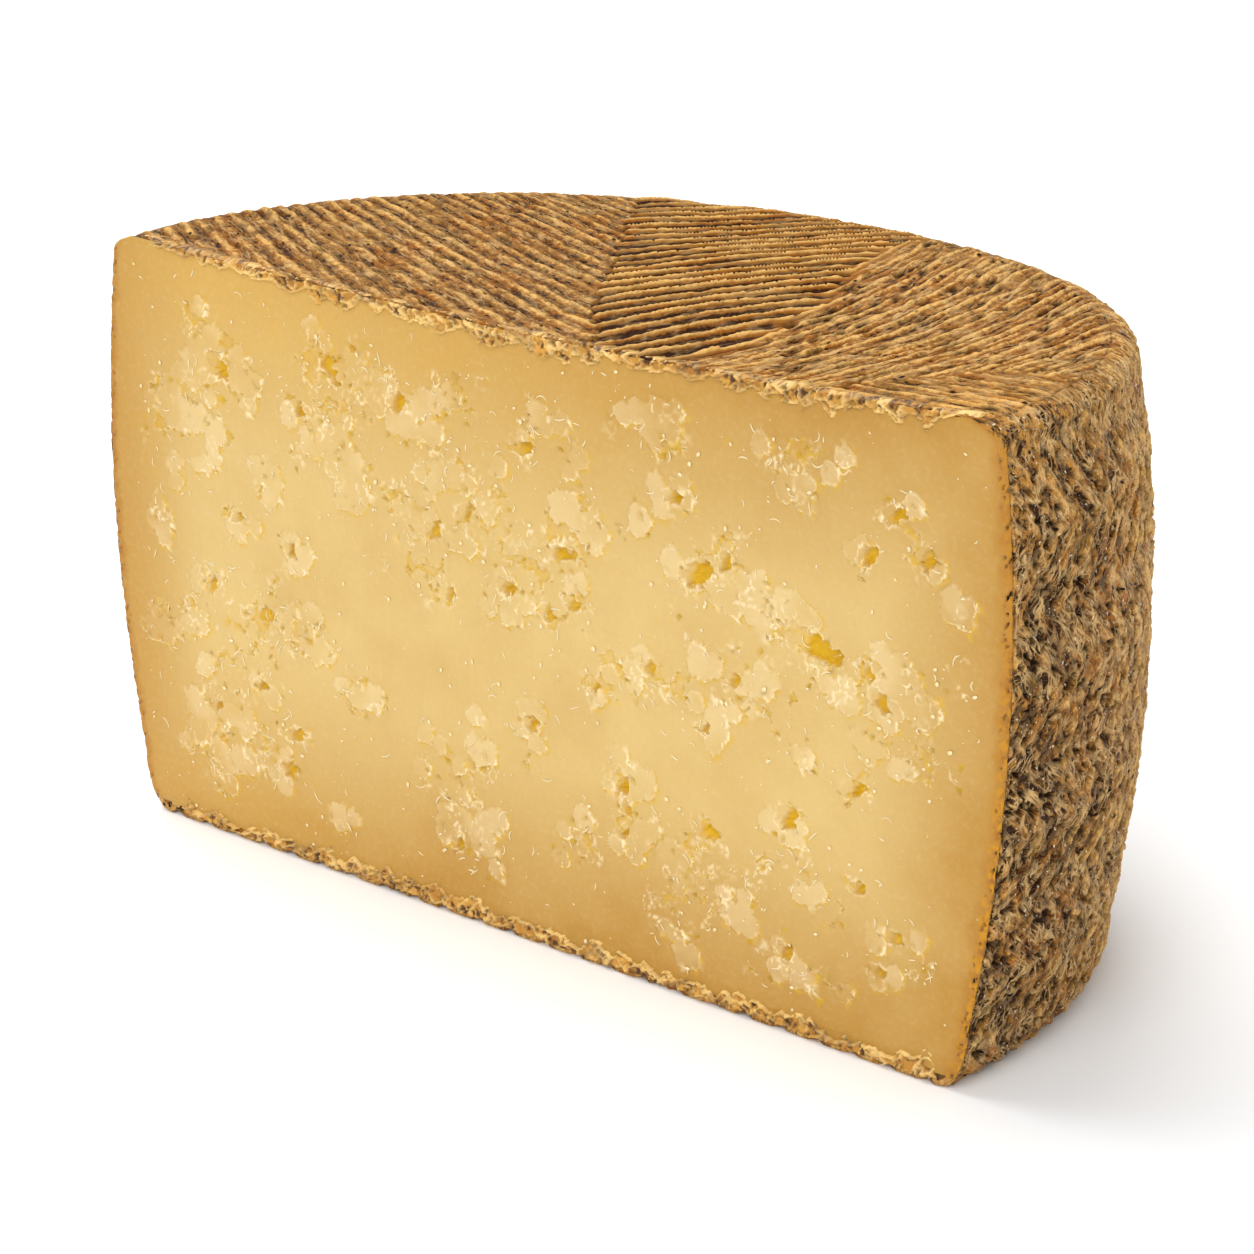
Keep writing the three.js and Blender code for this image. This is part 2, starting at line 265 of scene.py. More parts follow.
def close_behind(thing, depths, middle):
    """Extrudes a sheet's open edge through each (move, shrink) step and fills the last ring."""
    select_only(thing)
    bpy.ops.object.mode_set(mode="EDIT")
    bpy.ops.mesh.select_mode(type="EDGE")
    bpy.ops.mesh.select_all(action="DESELECT")
    bpy.ops.mesh.select_non_manifold()
    for move, shrink in depths:
        bpy.ops.mesh.extrude_region_move(TRANSFORM_OT_translate={"value": move})
        bpy.ops.transform.resize(value=shrink, center_override=middle)
    bpy.ops.mesh.edge_face_add()
    bpy.ops.mesh.select_all(action="SELECT")
    bpy.ops.mesh.normals_make_consistent(inside=False)
    bpy.ops.object.mode_set(mode="OBJECT")


def attach(thing):
    bpy.ops.object.select_all(action="DESELECT")
    thing.data.polygons.foreach_set("use_smooth", [True] * len(thing.data.polygons))
    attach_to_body(thing, BODY)
    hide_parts(NODE)
    faces = thing.data.polygons
    triangles = sum(len(face.vertices) - 2 for face in faces)
    print(f"{thing.name}: {len(faces)} faces, {triangles} triangles")


def add_grid(name, columns, rows):
    """A flat sheet of columns by rows faces, from -1 to 1 both ways, and its points."""
    bpy.ops.object.select_all(action="DESELECT")
    bpy.ops.mesh.primitive_grid_add(x_subdivisions=columns, y_subdivisions=rows, size=2)
    sheet = bpy.context.active_object
    sheet.name = sheet.data.name = name
    return sheet, read_points(sheet)

# %% [markdown]
# ## The camera and the light
# The cheese is seen from the right, a little from above, through a long lens. The light is a
# product photographer's: two wide soft boxes, one high on the left and one in front of the cut, in
# a white room that fills the shadows. A pale floor carries a soft shadow to the right.

# %% Camera
VIEW_AZIMUTH = math.radians(41.0)
VIEW_ELEVATION = math.radians(19.53)
VIEW_DISTANCE = 695.6
VIEW_TARGET = Vector((-4.32 + AXIS_X, 31.24 + CUT_Y, 47.89))
VIEW_ROLL = -0.0043
LENS = 113.95  # on a sensor 36 mm wide

backwards = Vector((
    math.sin(VIEW_AZIMUTH) * math.cos(VIEW_ELEVATION),
    -math.cos(VIEW_AZIMUTH) * math.cos(VIEW_ELEVATION),
    math.sin(VIEW_ELEVATION),
))
bpy.ops.object.camera_add(location=(VIEW_TARGET + VIEW_DISTANCE * backwards) * MM)
camera = bpy.context.active_object
camera.name = "camera"
aim = backwards.to_track_quat("Z", "Y") @ Matrix.Rotation(VIEW_ROLL, 3, "Z").to_quaternion()
camera.rotation_euler = aim.to_euler()
camera.data.lens = LENS
camera.data.sensor_width = 36
camera.data.clip_start = 0.01
bpy.context.scene.camera = camera
print("camera at", [round(value, 3) for value in camera.location])


# %% Light, room and floor
def add_sun(name, heading, height, strength, angle):
    """A soft sun: heading and height in degrees say where it stands, angle how wide it is."""
    turn, tilt = math.radians(heading), math.radians(height)
    flat = math.cos(tilt)
    place = Vector((flat * math.cos(turn), flat * math.sin(turn), math.sin(tilt)))
    bpy.ops.object.light_add(type="SUN", location=place)
    sun = bpy.context.active_object
    sun.name = name
    sun.data.energy = strength
    sun.data.angle = math.radians(angle)
    sun.rotation_euler = place.to_track_quat("Z", "Y").to_euler()


add_sun("overhead_softbox", heading=167.5, height=61, strength=2.0, angle=50)
add_sun("front_softbox", heading=293, height=36, strength=1.82, angle=50)
room = bpy.data.worlds.new("white_room")
room.use_nodes = True
room.node_tree.nodes["Background"].inputs["Color"].default_value = (1.0, 1.0, 1.0, 1)
room.node_tree.nodes["Background"].inputs["Strength"].default_value = 0.53
bpy.context.scene.world = room
bpy.context.scene.view_settings.view_transform = "Standard"

bpy.ops.mesh.primitive_plane_add(size=8, location=(0, 0, -0.0002))
floor = bpy.context.active_object
floor.name = "floor"
floor_paint = bpy.data.materials.new("pale_floor")
floor_paint.use_nodes = True
floor_shader = floor_paint.node_tree.nodes["Principled BSDF"]
floor_shader.inputs["Base Color"].default_value = (0.94, 0.94, 0.94, 1)
floor_shader.inputs["Roughness"].default_value = 0.8
floor_shader.inputs["Specular IOR Level"].default_value = 0.1
floor.data.materials.append(floor_paint)
floor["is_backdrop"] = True

# %% [markdown]
# ## Fields of ridges on the top
# The press board is carved in fields of straight ridges, and each field pressed its own direction
# into the cheese. The ridges aren't quite parallel: on the left they fan out from a far point, in
# the middle they bend. So each field has a function that says how far a place lies across its
# ridges, and the ridge is a wave of that distance. Where two fields meet, the nearer board wins.

# %% Ridges of the press boards
FAN_X, FAN_Y = -248.0, 115.0  # the far point that the left ridges come from
# each field's ridge pitch and depth in mm, how narrow its grooves are, its brightness and contrast,
# its share of half ridges, its fibre depth, its slots and how loose the pattern is
BOARD = {
    "left": (3.85, 0.5, 1.5, 0.44, 0.85, 0.25, 0.25, 0.6, 0.9),
    "middle": (4.85, 1.45, 0.48, 0.27, 1.9, 0.0, 0.1, 0.2, 0.4),
    "right": (3.7, 0.5, 0.8, 0.6, 1.1, 0.6, 0.35, 1.0, 0.9),
    "corner": (3.9, 0.5, 1.0, 0.48, 0.9, 0.5, 0.3, 1.0, 0.8),
}
# where the seams between the fields run: how far right they cross the cut, and how they go back
LEFT_SEAM_X, LEFT_SEAM_SLANT = 14.3, 0.692
RIGHT_SEAM_X, RIGHT_SEAM_BOW = 30.0, 0.0017
CORNER_X, CORNER_SLANT, CORNER_BACK = 59.6, 0.61, 26.0


def ridge_wave(across, pitch, groove=1.0):
    """1 on the crest of a ridge and 0 at the bottom of the groove beside it."""
    return 1 - (np.sin(np.pi * across / pitch) ** 2) ** groove


def left_field(x, y):
    turn = np.arctan2(y - FAN_Y, x - FAN_X)
    return 200 * turn + 140 * (turn + 0.56) ** 2, np.hypot(x - FAN_X, y - FAN_Y)


def middle_field(x, y):
    return x - 0.1 * y - 0.006 * y * y, y + 0.2 * x


def right_field(x, y):
    return x - 0.17 * y + 0.002 * y * y, y


def corner_field(x, y):
    return y - 0.03 * x - 0.0006 * (x - 78) ** 2, x


def top_relief(x, y, z):
    """Relief of the upper side in mm and what the paint needs: crests, pits, looseness, the place
    across and along the fibres, and the belt's share."""
    px = x + 0.3 * rough(x / 8, y / 8, 3)
    py = y + 0.3 * rough(x / 8, y / 8, 7)
    ragged = 1.3 * rolling(x / 2.1, y / 2.1, 11)
    in_left = ease(-0.8, 0.8, LEFT_SEAM_X - (px + LEFT_SEAM_SLANT * py + ragged))
    right_seam = RIGHT_SEAM_X - RIGHT_SEAM_BOW * y * y
    in_right = ease(-4, 4, px + 4.5 * rough(x / 9, y / 9, 13) - right_seam)
    in_corner = ease(-1, 1, px - CORNER_SLANT * py + 2 * ragged - CORNER_X)
    in_corner = in_corner * ease(-1, 1, CORNER_BACK - py - ragged)
    shares = np.stack([
        in_left,
        (1 - in_left) * (1 - in_right),
        (1 - in_left) * in_right * (1 - in_corner),
        (1 - in_left) * in_right * in_corner,
    ])
    _, depth, _, level, contrast, halves, fibre_depth, slots, loose = (
        np.tensordot(column, shares, 1) for column in zip(*BOARD.values()))
    px = px + 0.5 * loose * rough(x / 5, y / 6, 5)  # loose ridges sway
    places = [field(px, py) for field in (left_field, middle_field, right_field, corner_field)]
    main = np.argmax(shares, axis=0)
    across = np.choose(main, [place[0] for place in places])
    along = np.choose(main, [place[1] for place in places])
    waves = [ridge_wave(place[0], rule[0], rule[2]) for place, rule in zip(places, BOARD.values())]
    half_waves = [ridge_wave(place[0], rule[0] / 2) for place, rule in zip(places, BOARD.values())]
    crest = sum(share * wave for share, wave in zip(shares, waves))
    half_crest = sum(share * wave for share, wave in zip(shares, half_waves))
    crest = crest * (1 - halves) + half_crest * halves

    # ridges fade and break along their length, and fibres and slots lie between them
    strength = 1 + (0.2 + 0.3 * loose) * rough(across / 15, along / 17, 17)
    broken = (0.1 + 0.25 * loose) * rough(across / 3, along / 9, 19)
    crest = crest * np.clip(0.98 + broken, 0.45, 1.1)
    fibre = strands(across, along, 23, 1.5, 11)
    slot_across = across / 1.9 + 0.4 * rough(x / 5, y / 5, 25)
    slot = slots * dotted(slot_across, along / 6.5, 27, (0.5, 0.7), (0.4, 0.16))
    crumbly = rough(x / 1.0, y / 1.0, 29)
    relief = depth * strength * (crest - 0.62) + fibre_depth * (fibre - 0.5) - 0.8 * slot
    relief = relief * (0.5 + 0.5 * ease(0, 3, y)) + 0.15 * crumbly
    relief = relief + 0.3 * rough(x / 15, y / 15, 31) - 0.2
    # crests are painted bright as highlights and grooves dark as shade
    bright = level + contrast * strength * (crest - 0.5) + 0.8 * fibre_depth * (fibre - 0.45)
    bright = bright + 0.8 * shares[1] * shares[2]  # these two fields flow into each other

    # over the rim the board's marks give way to the belt's, so that top and wall meet unseen
    belt = wall_relief(RADIUS * np.arctan2(y, x), z)
    share = ease(1.0, 6.0, np.hypot(x, y) - FLAT)
    # and where the fibres change their course, they fade out first
    loose = loose * ease(0.85, 0.98, shares.max(axis=0)) * ease(0.12, 0.3, np.abs(share - 0.5))
    mine = (relief, bright + 0.1 * crumbly, slot, loose)
    mixed = [own * (1 - share) + theirs * share for own, theirs in zip(mine, belt)]
    across, along = np.where(share > 0.5, belt[4:6], (across, along))
    return mixed[0], np.clip(mixed[1], 0, 1), mixed[2], mixed[3], across, along, share

# %% [markdown]
# ## The plaited belt round the wall
# The belt is plaited from grass, and a plait shows as bands of short slanting ridges that turn
# from band to band. Over it lies a felt of fine fibres with small deep pits between them. The
# results are the same seven as on the top. The place along a fibre grows with the height alone, so
# the fibres zigzag with the bands but never jump, and what is painted along them doesn't tear.

# %% Relief of the wall
BAND = HEIGHT / 9
BELT_PITCH = 4.2


def wall_relief(arc, z):
    """The same seven results for a place on the wall: millimetres round it, and height."""
    wobble = 1.0 * rough(arc / 9, z / 9, 41)
    high = z + 1.6 * rough(arc / 12, z / 12, 43)
    slant = np.abs((high / BAND + 0.5) % 2 - 1)
    across = (arc - slant * BAND + wobble) / math.sqrt(2)
    along = math.sqrt(2) * z
    crest = ridge_wave(across, BELT_PITCH, 0.8)
    strength = np.clip(0.75 + 0.7 * rough(arc / 14, z / 12, 47), 0.1, 1.2)
    worn = 0.1 + 0.9 * ease(HEIGHT - 2, HEIGHT - 15, z)  # the rim is worn smooth
    strength = strength * worn

    # fibres follow the ridges, others hang over them upright, and pits lie between
    fibre = strands(across, along, 53, 1.5, 9)
    upright = strands(arc + 0.2 * z, z, 55, 2.0, 11)
    pit = dotted(across / 2.3, along / 3.6, 57, (0.6, 0.7), (0.34, 0.16))
    fine = dotted(arc / 1.6 + 0.5 * wobble, z / 1.9, 59, (0.66, 0.74), (0.36, 0.18))
    pit = np.maximum(pit, fine) * worn
    lumps = rough(arc / 3.2, z / 3.2, 61) * worn
    relief = 0.65 * strength * (crest - 0.5) + 0.28 * (fibre + upright - 0.8) - 0.9 * pit
    relief = relief + 0.16 * lumps + 0.3 * rough(arc / 23, z / 23, 67) - 0.25
    # crests are painted bright as highlights and grooves dark as shade
    bright = 0.32 + 0.5 * strength * (crest - 0.45) + 0.35 * (fibre + upright - 0.7)
    bright = bright + 0.2 * lumps
    loose = np.ones(np.shape(arc))
    return relief, np.clip(bright, 0, 1), pit, loose, across, along, loose

# %% [markdown]
# ## Rind of the wall
# A wall like this is a section line swept round an axis, which is what Spin does. The section
# starts as a circle with one vertex for each row, pulled into a long thin loop: up the outside of
# the rind and down its hidden inside. Half a turn of spin makes the shell, two faces close its
# ends, and the relief is pushed into the outer rows.

# %% Spin the wall
WALL_ROWS = 200
WALL_STEPS = 480
WALL_THICK = 3.0
INNER_ROWS = 4
END_GAP = 0.25  # the wall's ends stop this many mm behind the cut


def wall_section():
    """Radius and height of the outer wall, from under the base's edge to under the top's rim."""
    toe = np.radians(np.linspace(-92, 0, 40))
    toe_line = line_of(FOOT + TOE_WIDTH * np.cos(toe), TOE_HEIGHT + TOE_HEIGHT * np.sin(toe))
    heights = np.linspace(TOE_HEIGHT, HEIGHT - RIM_DROP, 80)[1:]
    wall_line = line_of(barrel_radius(heights), heights)
    rim = np.radians(np.linspace(0, 42, 20))[1:]
    tucked = 0.5 * np.linspace(0, 1, 19)
    rim_line = line_of(
        SHOULDER - RIM_WIDTH * (1 - np.cos(rim)) - tucked,
        HEIGHT - RIM_DROP + RIM_DROP * np.sin(rim) - tucked,
    )
    return np.concatenate([toe_line, wall_line, rim_line])


bpy.ops.object.select_all(action="DESELECT")
bpy.ops.mesh.primitive_circle_add(vertices=WALL_ROWS + INNER_ROWS, radius=0.1)
wall = bpy.context.active_object
wall.name = wall.data.name = "rind_wall"

section = wall_section()
length = unrolled(section)
row_places = np.linspace(0, length[-1], WALL_ROWS)
outer = line_of(*(np.interp(row_places, length, column) for column in section.T))
inner_heights = np.linspace(HEIGHT - 2 * RIM_DROP, TOE_HEIGHT / 2, INNER_ROWS)
inner = line_of(barrel_radius(inner_heights) - 2 * WALL_THICK, inner_heights)
loop = np.concatenate([outer, inner])
write_points(wall, np.stack([loop[:, 0], np.zeros(len(loop)), loop[:, 1]], axis=-1))

select_only(wall)
bpy.ops.object.mode_set(mode="EDIT")
bpy.ops.mesh.select_all(action="SELECT")
bpy.ops.mesh.spin(steps=WALL_STEPS, angle=math.pi, center=(0, 0, 0), axis=(0, 0, -1))
bpy.ops.mesh.select_all(action="SELECT")
bpy.ops.mesh.fill_holes(sides=0)
bpy.ops.mesh.normals_make_consistent(inside=False)
bpy.ops.object.mode_set(mode="OBJECT")
print("wall spun:", len(wall.data.vertices), "vertices")

# %% Press the belt into the wall
def crowd(turn):
    """Moves evenly spaced turns so that they stand closest at the right end and loosest behind."""
    knots = np.linspace(0, math.pi, 181)
    spacing = 0.62 + 0.85 * ease(0.9, 1.5, knots) - 0.45 * ease(2.3, 2.8, knots)
    placed = np.concatenate([[0], np.cumsum((spacing[1:] + spacing[:-1]) / 2)])
    return np.interp(turn, knots, placed * math.pi / placed[-1])


def keep_rind(thing, bright, pit, loose, across, along, belt):
    """Keeps what the rind's paint reads."""
    store(thing, "crest", bright)
    store(thing, "pit", pit)
    store(thing, "loose", loose)
    store(thing, "belt", belt)
    store_vector(thing, "fibre", across, along)


spun = read_points(wall)
turn = crowd(np.arctan2(np.maximum(spun[:, 1], 0), spun[:, 0]))
reach = np.hypot(spun[:, 0], spun[:, 1])
height = spun[:, 2]
is_outer = reach > np.interp(height, outer[:, 1], outer[:, 0]) - WALL_THICK
tangent = tangents(outer)
out_r = np.where(is_outer, np.interp(height, outer[:, 1], tangent[:, 1]), 0)
out_z = np.where(is_outer, -np.interp(height, outer[:, 1], tangent[:, 0]), 0)

relief, *looks = wall_relief(RADIUS * turn, height)
at_cut = np.minimum(turn, math.pi - turn) * RADIUS
ragged_end = 0.3 * rolling(height / 1.9, turn, 71) * ease(3, 0, at_cut)
relief = relief * ease(-1.0, 1.5, at_cut) + ragged_end
reach = reach + relief * out_r
lifted = height + relief * out_z
wall_x, wall_y, wall_z = settle(reach * np.cos(turn), reach * np.sin(turn), lifted)
wall_y = wall_y + END_GAP * ease(3, 0, at_cut)  # so the paste stands a hair in front
write_points(wall, to_frame(wall_x, wall_y, wall_z))
keep_rind(wall, *looks)
attach(wall)

# %% [markdown]
# ## Rind of the top and the base
# A round end could be spun too, but then its rows would crowd together at the axis. A square grid
# can be bent into a half disc instead, with cells of nearly one size all over: each point slides
# towards the rim by the elliptical rule x * sqrt(1 - y*y / 2). The grid carries on over the rim
# and a little down inside the wall, so that the two rinds cross without a gap.

# %% Bend a grid into an end of the wheel
TOP_COLUMNS, TOP_ROWS = 430, 214
BASE_COLUMNS, BASE_ROWS = 300, 150


def top_section():
    """Radius and height from the axis, over the rim and down inside the wall."""
    flat = np.linspace(0, FLAT, 60)
    flat_line = line_of(flat, HEIGHT - SAG * (1 - (flat / FLAT) ** 2))
    rim = np.radians(np.linspace(0, 90, 30))[1:]
    rim_line = line_of(
        FLAT + RIM_WIDTH * np.sin(rim), HEIGHT - RIM_DROP + RIM_DROP * np.cos(rim))
    tuck = np.linspace(0, 1, 6)[1:]
    tuck_line = line_of(SHOULDER - 0.9 * tuck, HEIGHT - RIM_DROP - 2.5 * tuck)
    return np.concatenate([flat_line, rim_line, tuck_line])


def base_section():
    """Radius and height from the axis along the ground and a little way up inside the toe."""
    flat = np.linspace(0, FOOT, 60)
    flat_line = line_of(flat, 0 * flat)
    toe = np.radians(np.linspace(0, 40, 12))[1:]
    toe_line = line_of(
        FOOT + TOE_WIDTH * np.sin(toe) - 0.3,
        TOE_HEIGHT * (1 - np.cos(toe)) + 0.5 * np.linspace(0, 1, 11),
    )
    return np.concatenate([flat_line, toe_line])


def bend_to_disc(points, reach):
    """A sheet from -1 to 1 becomes the half disc behind the cut, out to reach."""
    u, v = points[:, 0], (points[:, 1] + 1) / 2
    return reach * u * np.sqrt(1 - v * v / 2), reach * v * np.sqrt(1 - u * u / 2)


def make_end(name, columns, rows, section, relief_of, outward):
    """One end of the wheel: bent from a grid, pressed, settled and closed behind."""
    end, sheet = add_grid(name, columns, rows)
    length = unrolled(section)
    flat_x, flat_y = bend_to_disc(sheet, length[-1])
    run = np.hypot(flat_x, flat_y)
    heading = np.arctan2(flat_y, flat_x)
    tangent = tangents(section)
    radius = np.interp(run, length, section[:, 0])
    z = np.interp(run, length, section[:, 1])
    relief, *looks = relief_of(flat_x, flat_y, z)
    relief = relief * ease(0, 1.5, length[-1] - run)
    radius = radius - outward * relief * np.interp(run, length, tangent[:, 1])
    z = z + outward * relief * np.interp(run, length, tangent[:, 0])
    x, y, z = settle(radius * np.cos(heading), radius * np.sin(heading), z)
    write_points(end, to_frame(x, y, z))
    keep_rind(end, *looks)
    inwards = (0, 0, -outward * WALL_THICK * MM)
    middle = (AXIS_X * MM, (CUT_Y + 0.4 * RADIUS) * MM, 0)
    close_behind(end, [(inwards, (0.97, 0.97, 1))], middle)
    attach(end)
    return end


top = make_end("rind_top", TOP_COLUMNS, TOP_ROWS, top_section(), top_relief, outward=1)

# %% [markdown]
# The base is out of sight, but it was pressed the same way. Its ridges are flattened where the
# cheese stands on them, so the wave is cut off level and only the grooves rise above the ground.

# %% Relief of the base
BASE_SLANT = math.radians(40)
BASE_PITCH = 4.8
BASE_GROOVE = 0.8


def base_relief(x, y, z):
    side = np.sign(x + 0.8 * rolling(x / 3, y / 3, 73))
    across = y * math.cos(BASE_SLANT) - side * x * math.sin(BASE_SLANT)
    along = side * x * math.cos(BASE_SLANT) + y * math.sin(BASE_SLANT)
    across = across + 0.4 * rough(x / 9, y / 9, 79)
    crest = ridge_wave(across, BASE_PITCH, 2.0)
    pit = dotted(across / 1.9, along / 4.2, 83, (0.75, 0.95), (0.42, 0.12))
    land = np.minimum(crest, 0.6) / 0.6
    relief = -BASE_GROOVE * (1 - land) - 0.6 * pit
    belt = ease(-6, 0, np.hypot(x, y) - FOOT)
    # the crest value paints crests bright as highlights and grooves dark as shade
    return relief, 0.3 + 0.5 * crest, pit, 0.8 + 0.2 * belt, across, along, belt


base = make_end("rind_base", BASE_COLUMNS, BASE_ROWS, base_section(), base_relief, outward=-1)

# %% [markdown]
# ## The cut face
# A knife doesn't slice an aged paste cleanly. Between calm, waxy stretches the curd breaks along
# its own granules: thin plates stand proud, beds lie where plates came away, and small eyes go
# deep. The eyes and plates that catch the eye are named below with their place and size. The rest
# of the grain follows from them: the closer a granule lies to a named one, the more disturbed.

# %% Eyes and plates, in millimetres right of the axis and up from the ground
#   x, z, width, height, lean in degrees
EYES = [
    (-77, 47.8, 3.6, 2.6, 0), (-72.8, 89.8, 5.5, 3.4, -50), (-69.3, 62.5, 3, 2, 20),
    (-64.4, 45, 8, 2.4, 5), (-64.7, 31.4, 3, 2, 0), (-58, 16.7, 3.4, 3, 0),
    (-56.4, 24, 5, 2, 10), (-76.3, 24.7, 2.4, 1.8, 30), (-56, 59.1, 3, 2.2, -20),
    (-52.9, 85.7, 3, 2.4, 0), (-46, 95.6, 9, 2.2, -52), (-28.7, 91.6, 3.6, 2.8, 30),
    (-21, 69.9, 5, 2.4, 35), (-17.5, 59.4, 3, 2, 10), (-16.1, 13.9, 3, 2, 0),
    (-13.3, 74.8, 4, 2.4, 40), (-4.2, 63.6, 4, 2.6, -20), (0, 88.8, 4, 2.6, 15),
    (1.4, 40.5, 3.6, 2.6, 0), (4.9, 61.1, 3, 2.4, 30), (7, 72, 9, 2.2, 8),
    (10.5, 64.3, 4, 2.2, -30), (15.4, 50.3, 2.6, 1.8, 0), (21.7, 34.9, 3, 4, 0),
    (22.7, 30.4, 2.4, 3, 20), (21.7, 25.8, 2.4, 2, 0), (27.3, 56.6, 2.8, 2.2, 30),
    (32.9, 87, 3.4, 2.6, 20), (37.5, 75.1, 6.5, 4.2, 25), (43.4, 78.3, 3.4, 2.6, 60),
    (39.2, 48.9, 3, 2, 0), (39.2, 31, 5, 3, -30), (45.2, 58.7, 3, 2.4, 0),
    (56.7, 37.7, 4.4, 3, 0), (60.9, 68.6, 13, 4, -12), (56.7, 14.6, 3, 2.2, 0),
    (70, 46.1, 4, 2.4, 30), (72.1, 66.4, 4, 2.4, -40), (74.9, 62.6, 4.6, 2.6, -50),
    (71.4, 29.7, 3, 2, 20), (72.1, 85.6, 4, 3, 50), (77, 93, 4.4, 2.6, 30),
    (83.3, 87.4, 3, 3.6, 0), (78.4, 23, 4, 2.2, 0), (75.6, 16.3, 3, 1.8, 0),
]
PLATES = [
    (-90.5, 37, 8, 4, 0), (-84, 79.5, 9, 5, -10), (-76, 78.5, 8, 4.5, -20),
    (-81, 19.5, 9, 5, 60), (-76, 16, 6, 6, 0), (-74, 93, 5, 5, 0), (-66, 88, 6, 5, 30),
    (-59.5, 70, 5.5, 6, 0), (-57.5, 45.5, 7, 4, 0), (-50, 41, 6, 3.5, 0),
    (-44.5, 80, 8, 7, 30), (-40, 76, 6, 8, 0), (-38, 36, 8, 4.5, 20), (-38.5, 96.5, 5.5, 6, 0),
    (-33, 92.5, 6.5, 6, 40), (-25, 88, 5, 4, 0), (-17.5, 94, 6, 4.5, 0), (-17, 17.5, 7, 6, -20),
    (-10, 19, 6, 5, 20), (4, 94.5, 5, 3.5, 0), (10, 80, 6, 4.5, 20), (15, 77.5, 6, 5, 0),
    (30.5, 97.5, 6.5, 4.5, 0), (27, 26.5, 6, 5, 0), (33, 24, 6, 5, 0), (34, 8, 3.2, 2.4, 0),
    (46, 75.5, 6, 5, 0), (53, 72.5, 7, 4, -20), (58, 94.5, 7, 4, 20), (66, 63, 6, 4, 0),
    (78.5, 66.5, 5.5, 5, 0), (83, 63, 5, 5, 0), (60, 50, 4, 3, 0), (49, 20, 4, 3, 0),
]


def oval(x, z, spot, grow=0.0):
    """0 in the middle of a named spot, 1 on its outline."""
    spot_x, spot_z, width, tall, lean = spot
    cosine, sine = math.cos(math.radians(lean)), math.sin(math.radians(lean))
    along = (x - spot_x) * cosine + (z - spot_z) * sine
    up = (z - spot_z) * cosine - (x - spot_x) * sine
    return np.hypot(along / (width / 2 + grow), up / (tall / 2 + grow))


def unrest(x, z):
    """How disturbed the grain is at a place, from 0 on calm paste to 1 among eyes and plates."""
    most = np.zeros(np.shape(x))
    for spot in EYES:
        most = np.maximum(most, 1 - 0.55 * oval(x, z, spot, grow=1.6))
    for spot in PLATES:
        most = np.maximum(most, 1.1 - 0.6 * oval(x, z, spot, grow=1.2))
    return np.clip(most, 0, 1)


print(len(EYES), "eyes and", len(PLATES), "plates named")

# %% [markdown]
# Each granule is a disc with a level: 0 for the plane of the knife, a little more for a plate, and
# less for a bed. The surface at a place is the highest disc that covers it. That gives plates
# their scalloped outlines, since they are unions of discs, and beds their inward-curving corners.
# Torn discs lean a little: a plate stands proud at its lower right, and a bed is deepest there.

# %% Granules of the curd
COARSE, FINE = 2.0, 1.15  # mm from granule to granule
PLATE_DROP = 3.6  # a plate's edge falls this many mm for each mm outwards
# the pale line along an outline is a painted highlight
RIM = 0.2  # width of the pale line along an outline
GRANULE_LEAN = 0.07  # torn granules stand proud on their lower right, and beds are deepest there
FACE_SPAN = (-112.0, -6.0, 112.0, 122.0)


def half_width(z):
    """Half the ideal wheel's width at a height, with both rounded edges."""
    toe = 1 - np.clip(z, 0, TOE_HEIGHT) / TOE_HEIGHT
    rim = np.clip(z - (HEIGHT - RIM_DROP), 0, RIM_DROP) / RIM_DROP
    wide = barrel_radius(np.clip(z, TOE_HEIGHT, HEIGHT - RIM_DROP))
    return wide - TOE_WIDTH * (1 - np.sqrt(1 - toe**2)) - RIM_WIDTH * (1 - np.sqrt(1 - rim**2))


def outline_gap(x, z):
    """About how many mm a place on the settled cut lies inside the wall, the top and the base."""
    side = np.where(x > 0, 0, math.pi)
    to_wall = half_width(z) * swell(side) - np.abs(x - LEAN_X * (z / HEIGHT - 0.5))
    tilt = 1 + TILT_X * x / RADIUS - 0.4 * TILT_Y
    to_top = tilt * (HEIGHT - SAG * np.clip(1 - (x / FLAT) ** 2, 0, 1)) - z
    return to_wall, to_top, z


def unrest_all(x, z):
    """The named unrest, and some more of it that follows no name, well away from the rind."""
    gap = np.minimum.reduce(outline_gap(x, z))
    astray = 0.7 * ease(0.02, 0.45, rough(x / 11, z / 9, 97)) * ease(4, 12, gap)
    return np.maximum(unrest(x, z), astray)


def make_granules(grain, seed, spread_of_size, level_of):
    """One disc for each square of the grain: place, level, lean and radius."""
    low_x, low_z, high_x, high_z = FACE_SPAN
    counts = (int((high_x - low_x) / grain), int((high_z - low_z) / grain))
    column, row = np.meshgrid(*(np.arange(count) for count in counts), indexing="ij")
    x = low_x + grain * (column + 0.5 + 0.85 * (chance(column, row, seed) - 0.5))
    z = low_z + grain * (row + 0.5 + 0.85 * (chance(column, row, seed + 1) - 0.5))
    luck = chance(column, row, seed + 2)
    active = unrest_all(x, z)
    size = grain * (spread_of_size[1] - (spread_of_size[1] - spread_of_size[0]) * active * luck)
    level = level_of(x, z, luck, active)
    lean = GRANULE_LEAN * ease(0.3, 0.7, active) * luck * np.where(level < -0.1, -2.0, 1.0)
    return grain, x, z, level, lean, size


def coarse_level(x, z, luck, active):
    mood = rough(x / 5, z / 4, 109) + 0.5 * (luck - 0.5)
    level = np.where((active > 0.25) & (mood < -0.24), -0.3 - 0.4 * luck, 0.0)
    level = np.where((active > 0.3) & (mood > 0.34), 0.2 + 0.05 * luck, level)
    for spot in PLATES:
        level = np.where(oval(x, z, spot) < 0.85 + 0.25 * luck, 0.3 + 0.08 * luck, level)
    return level


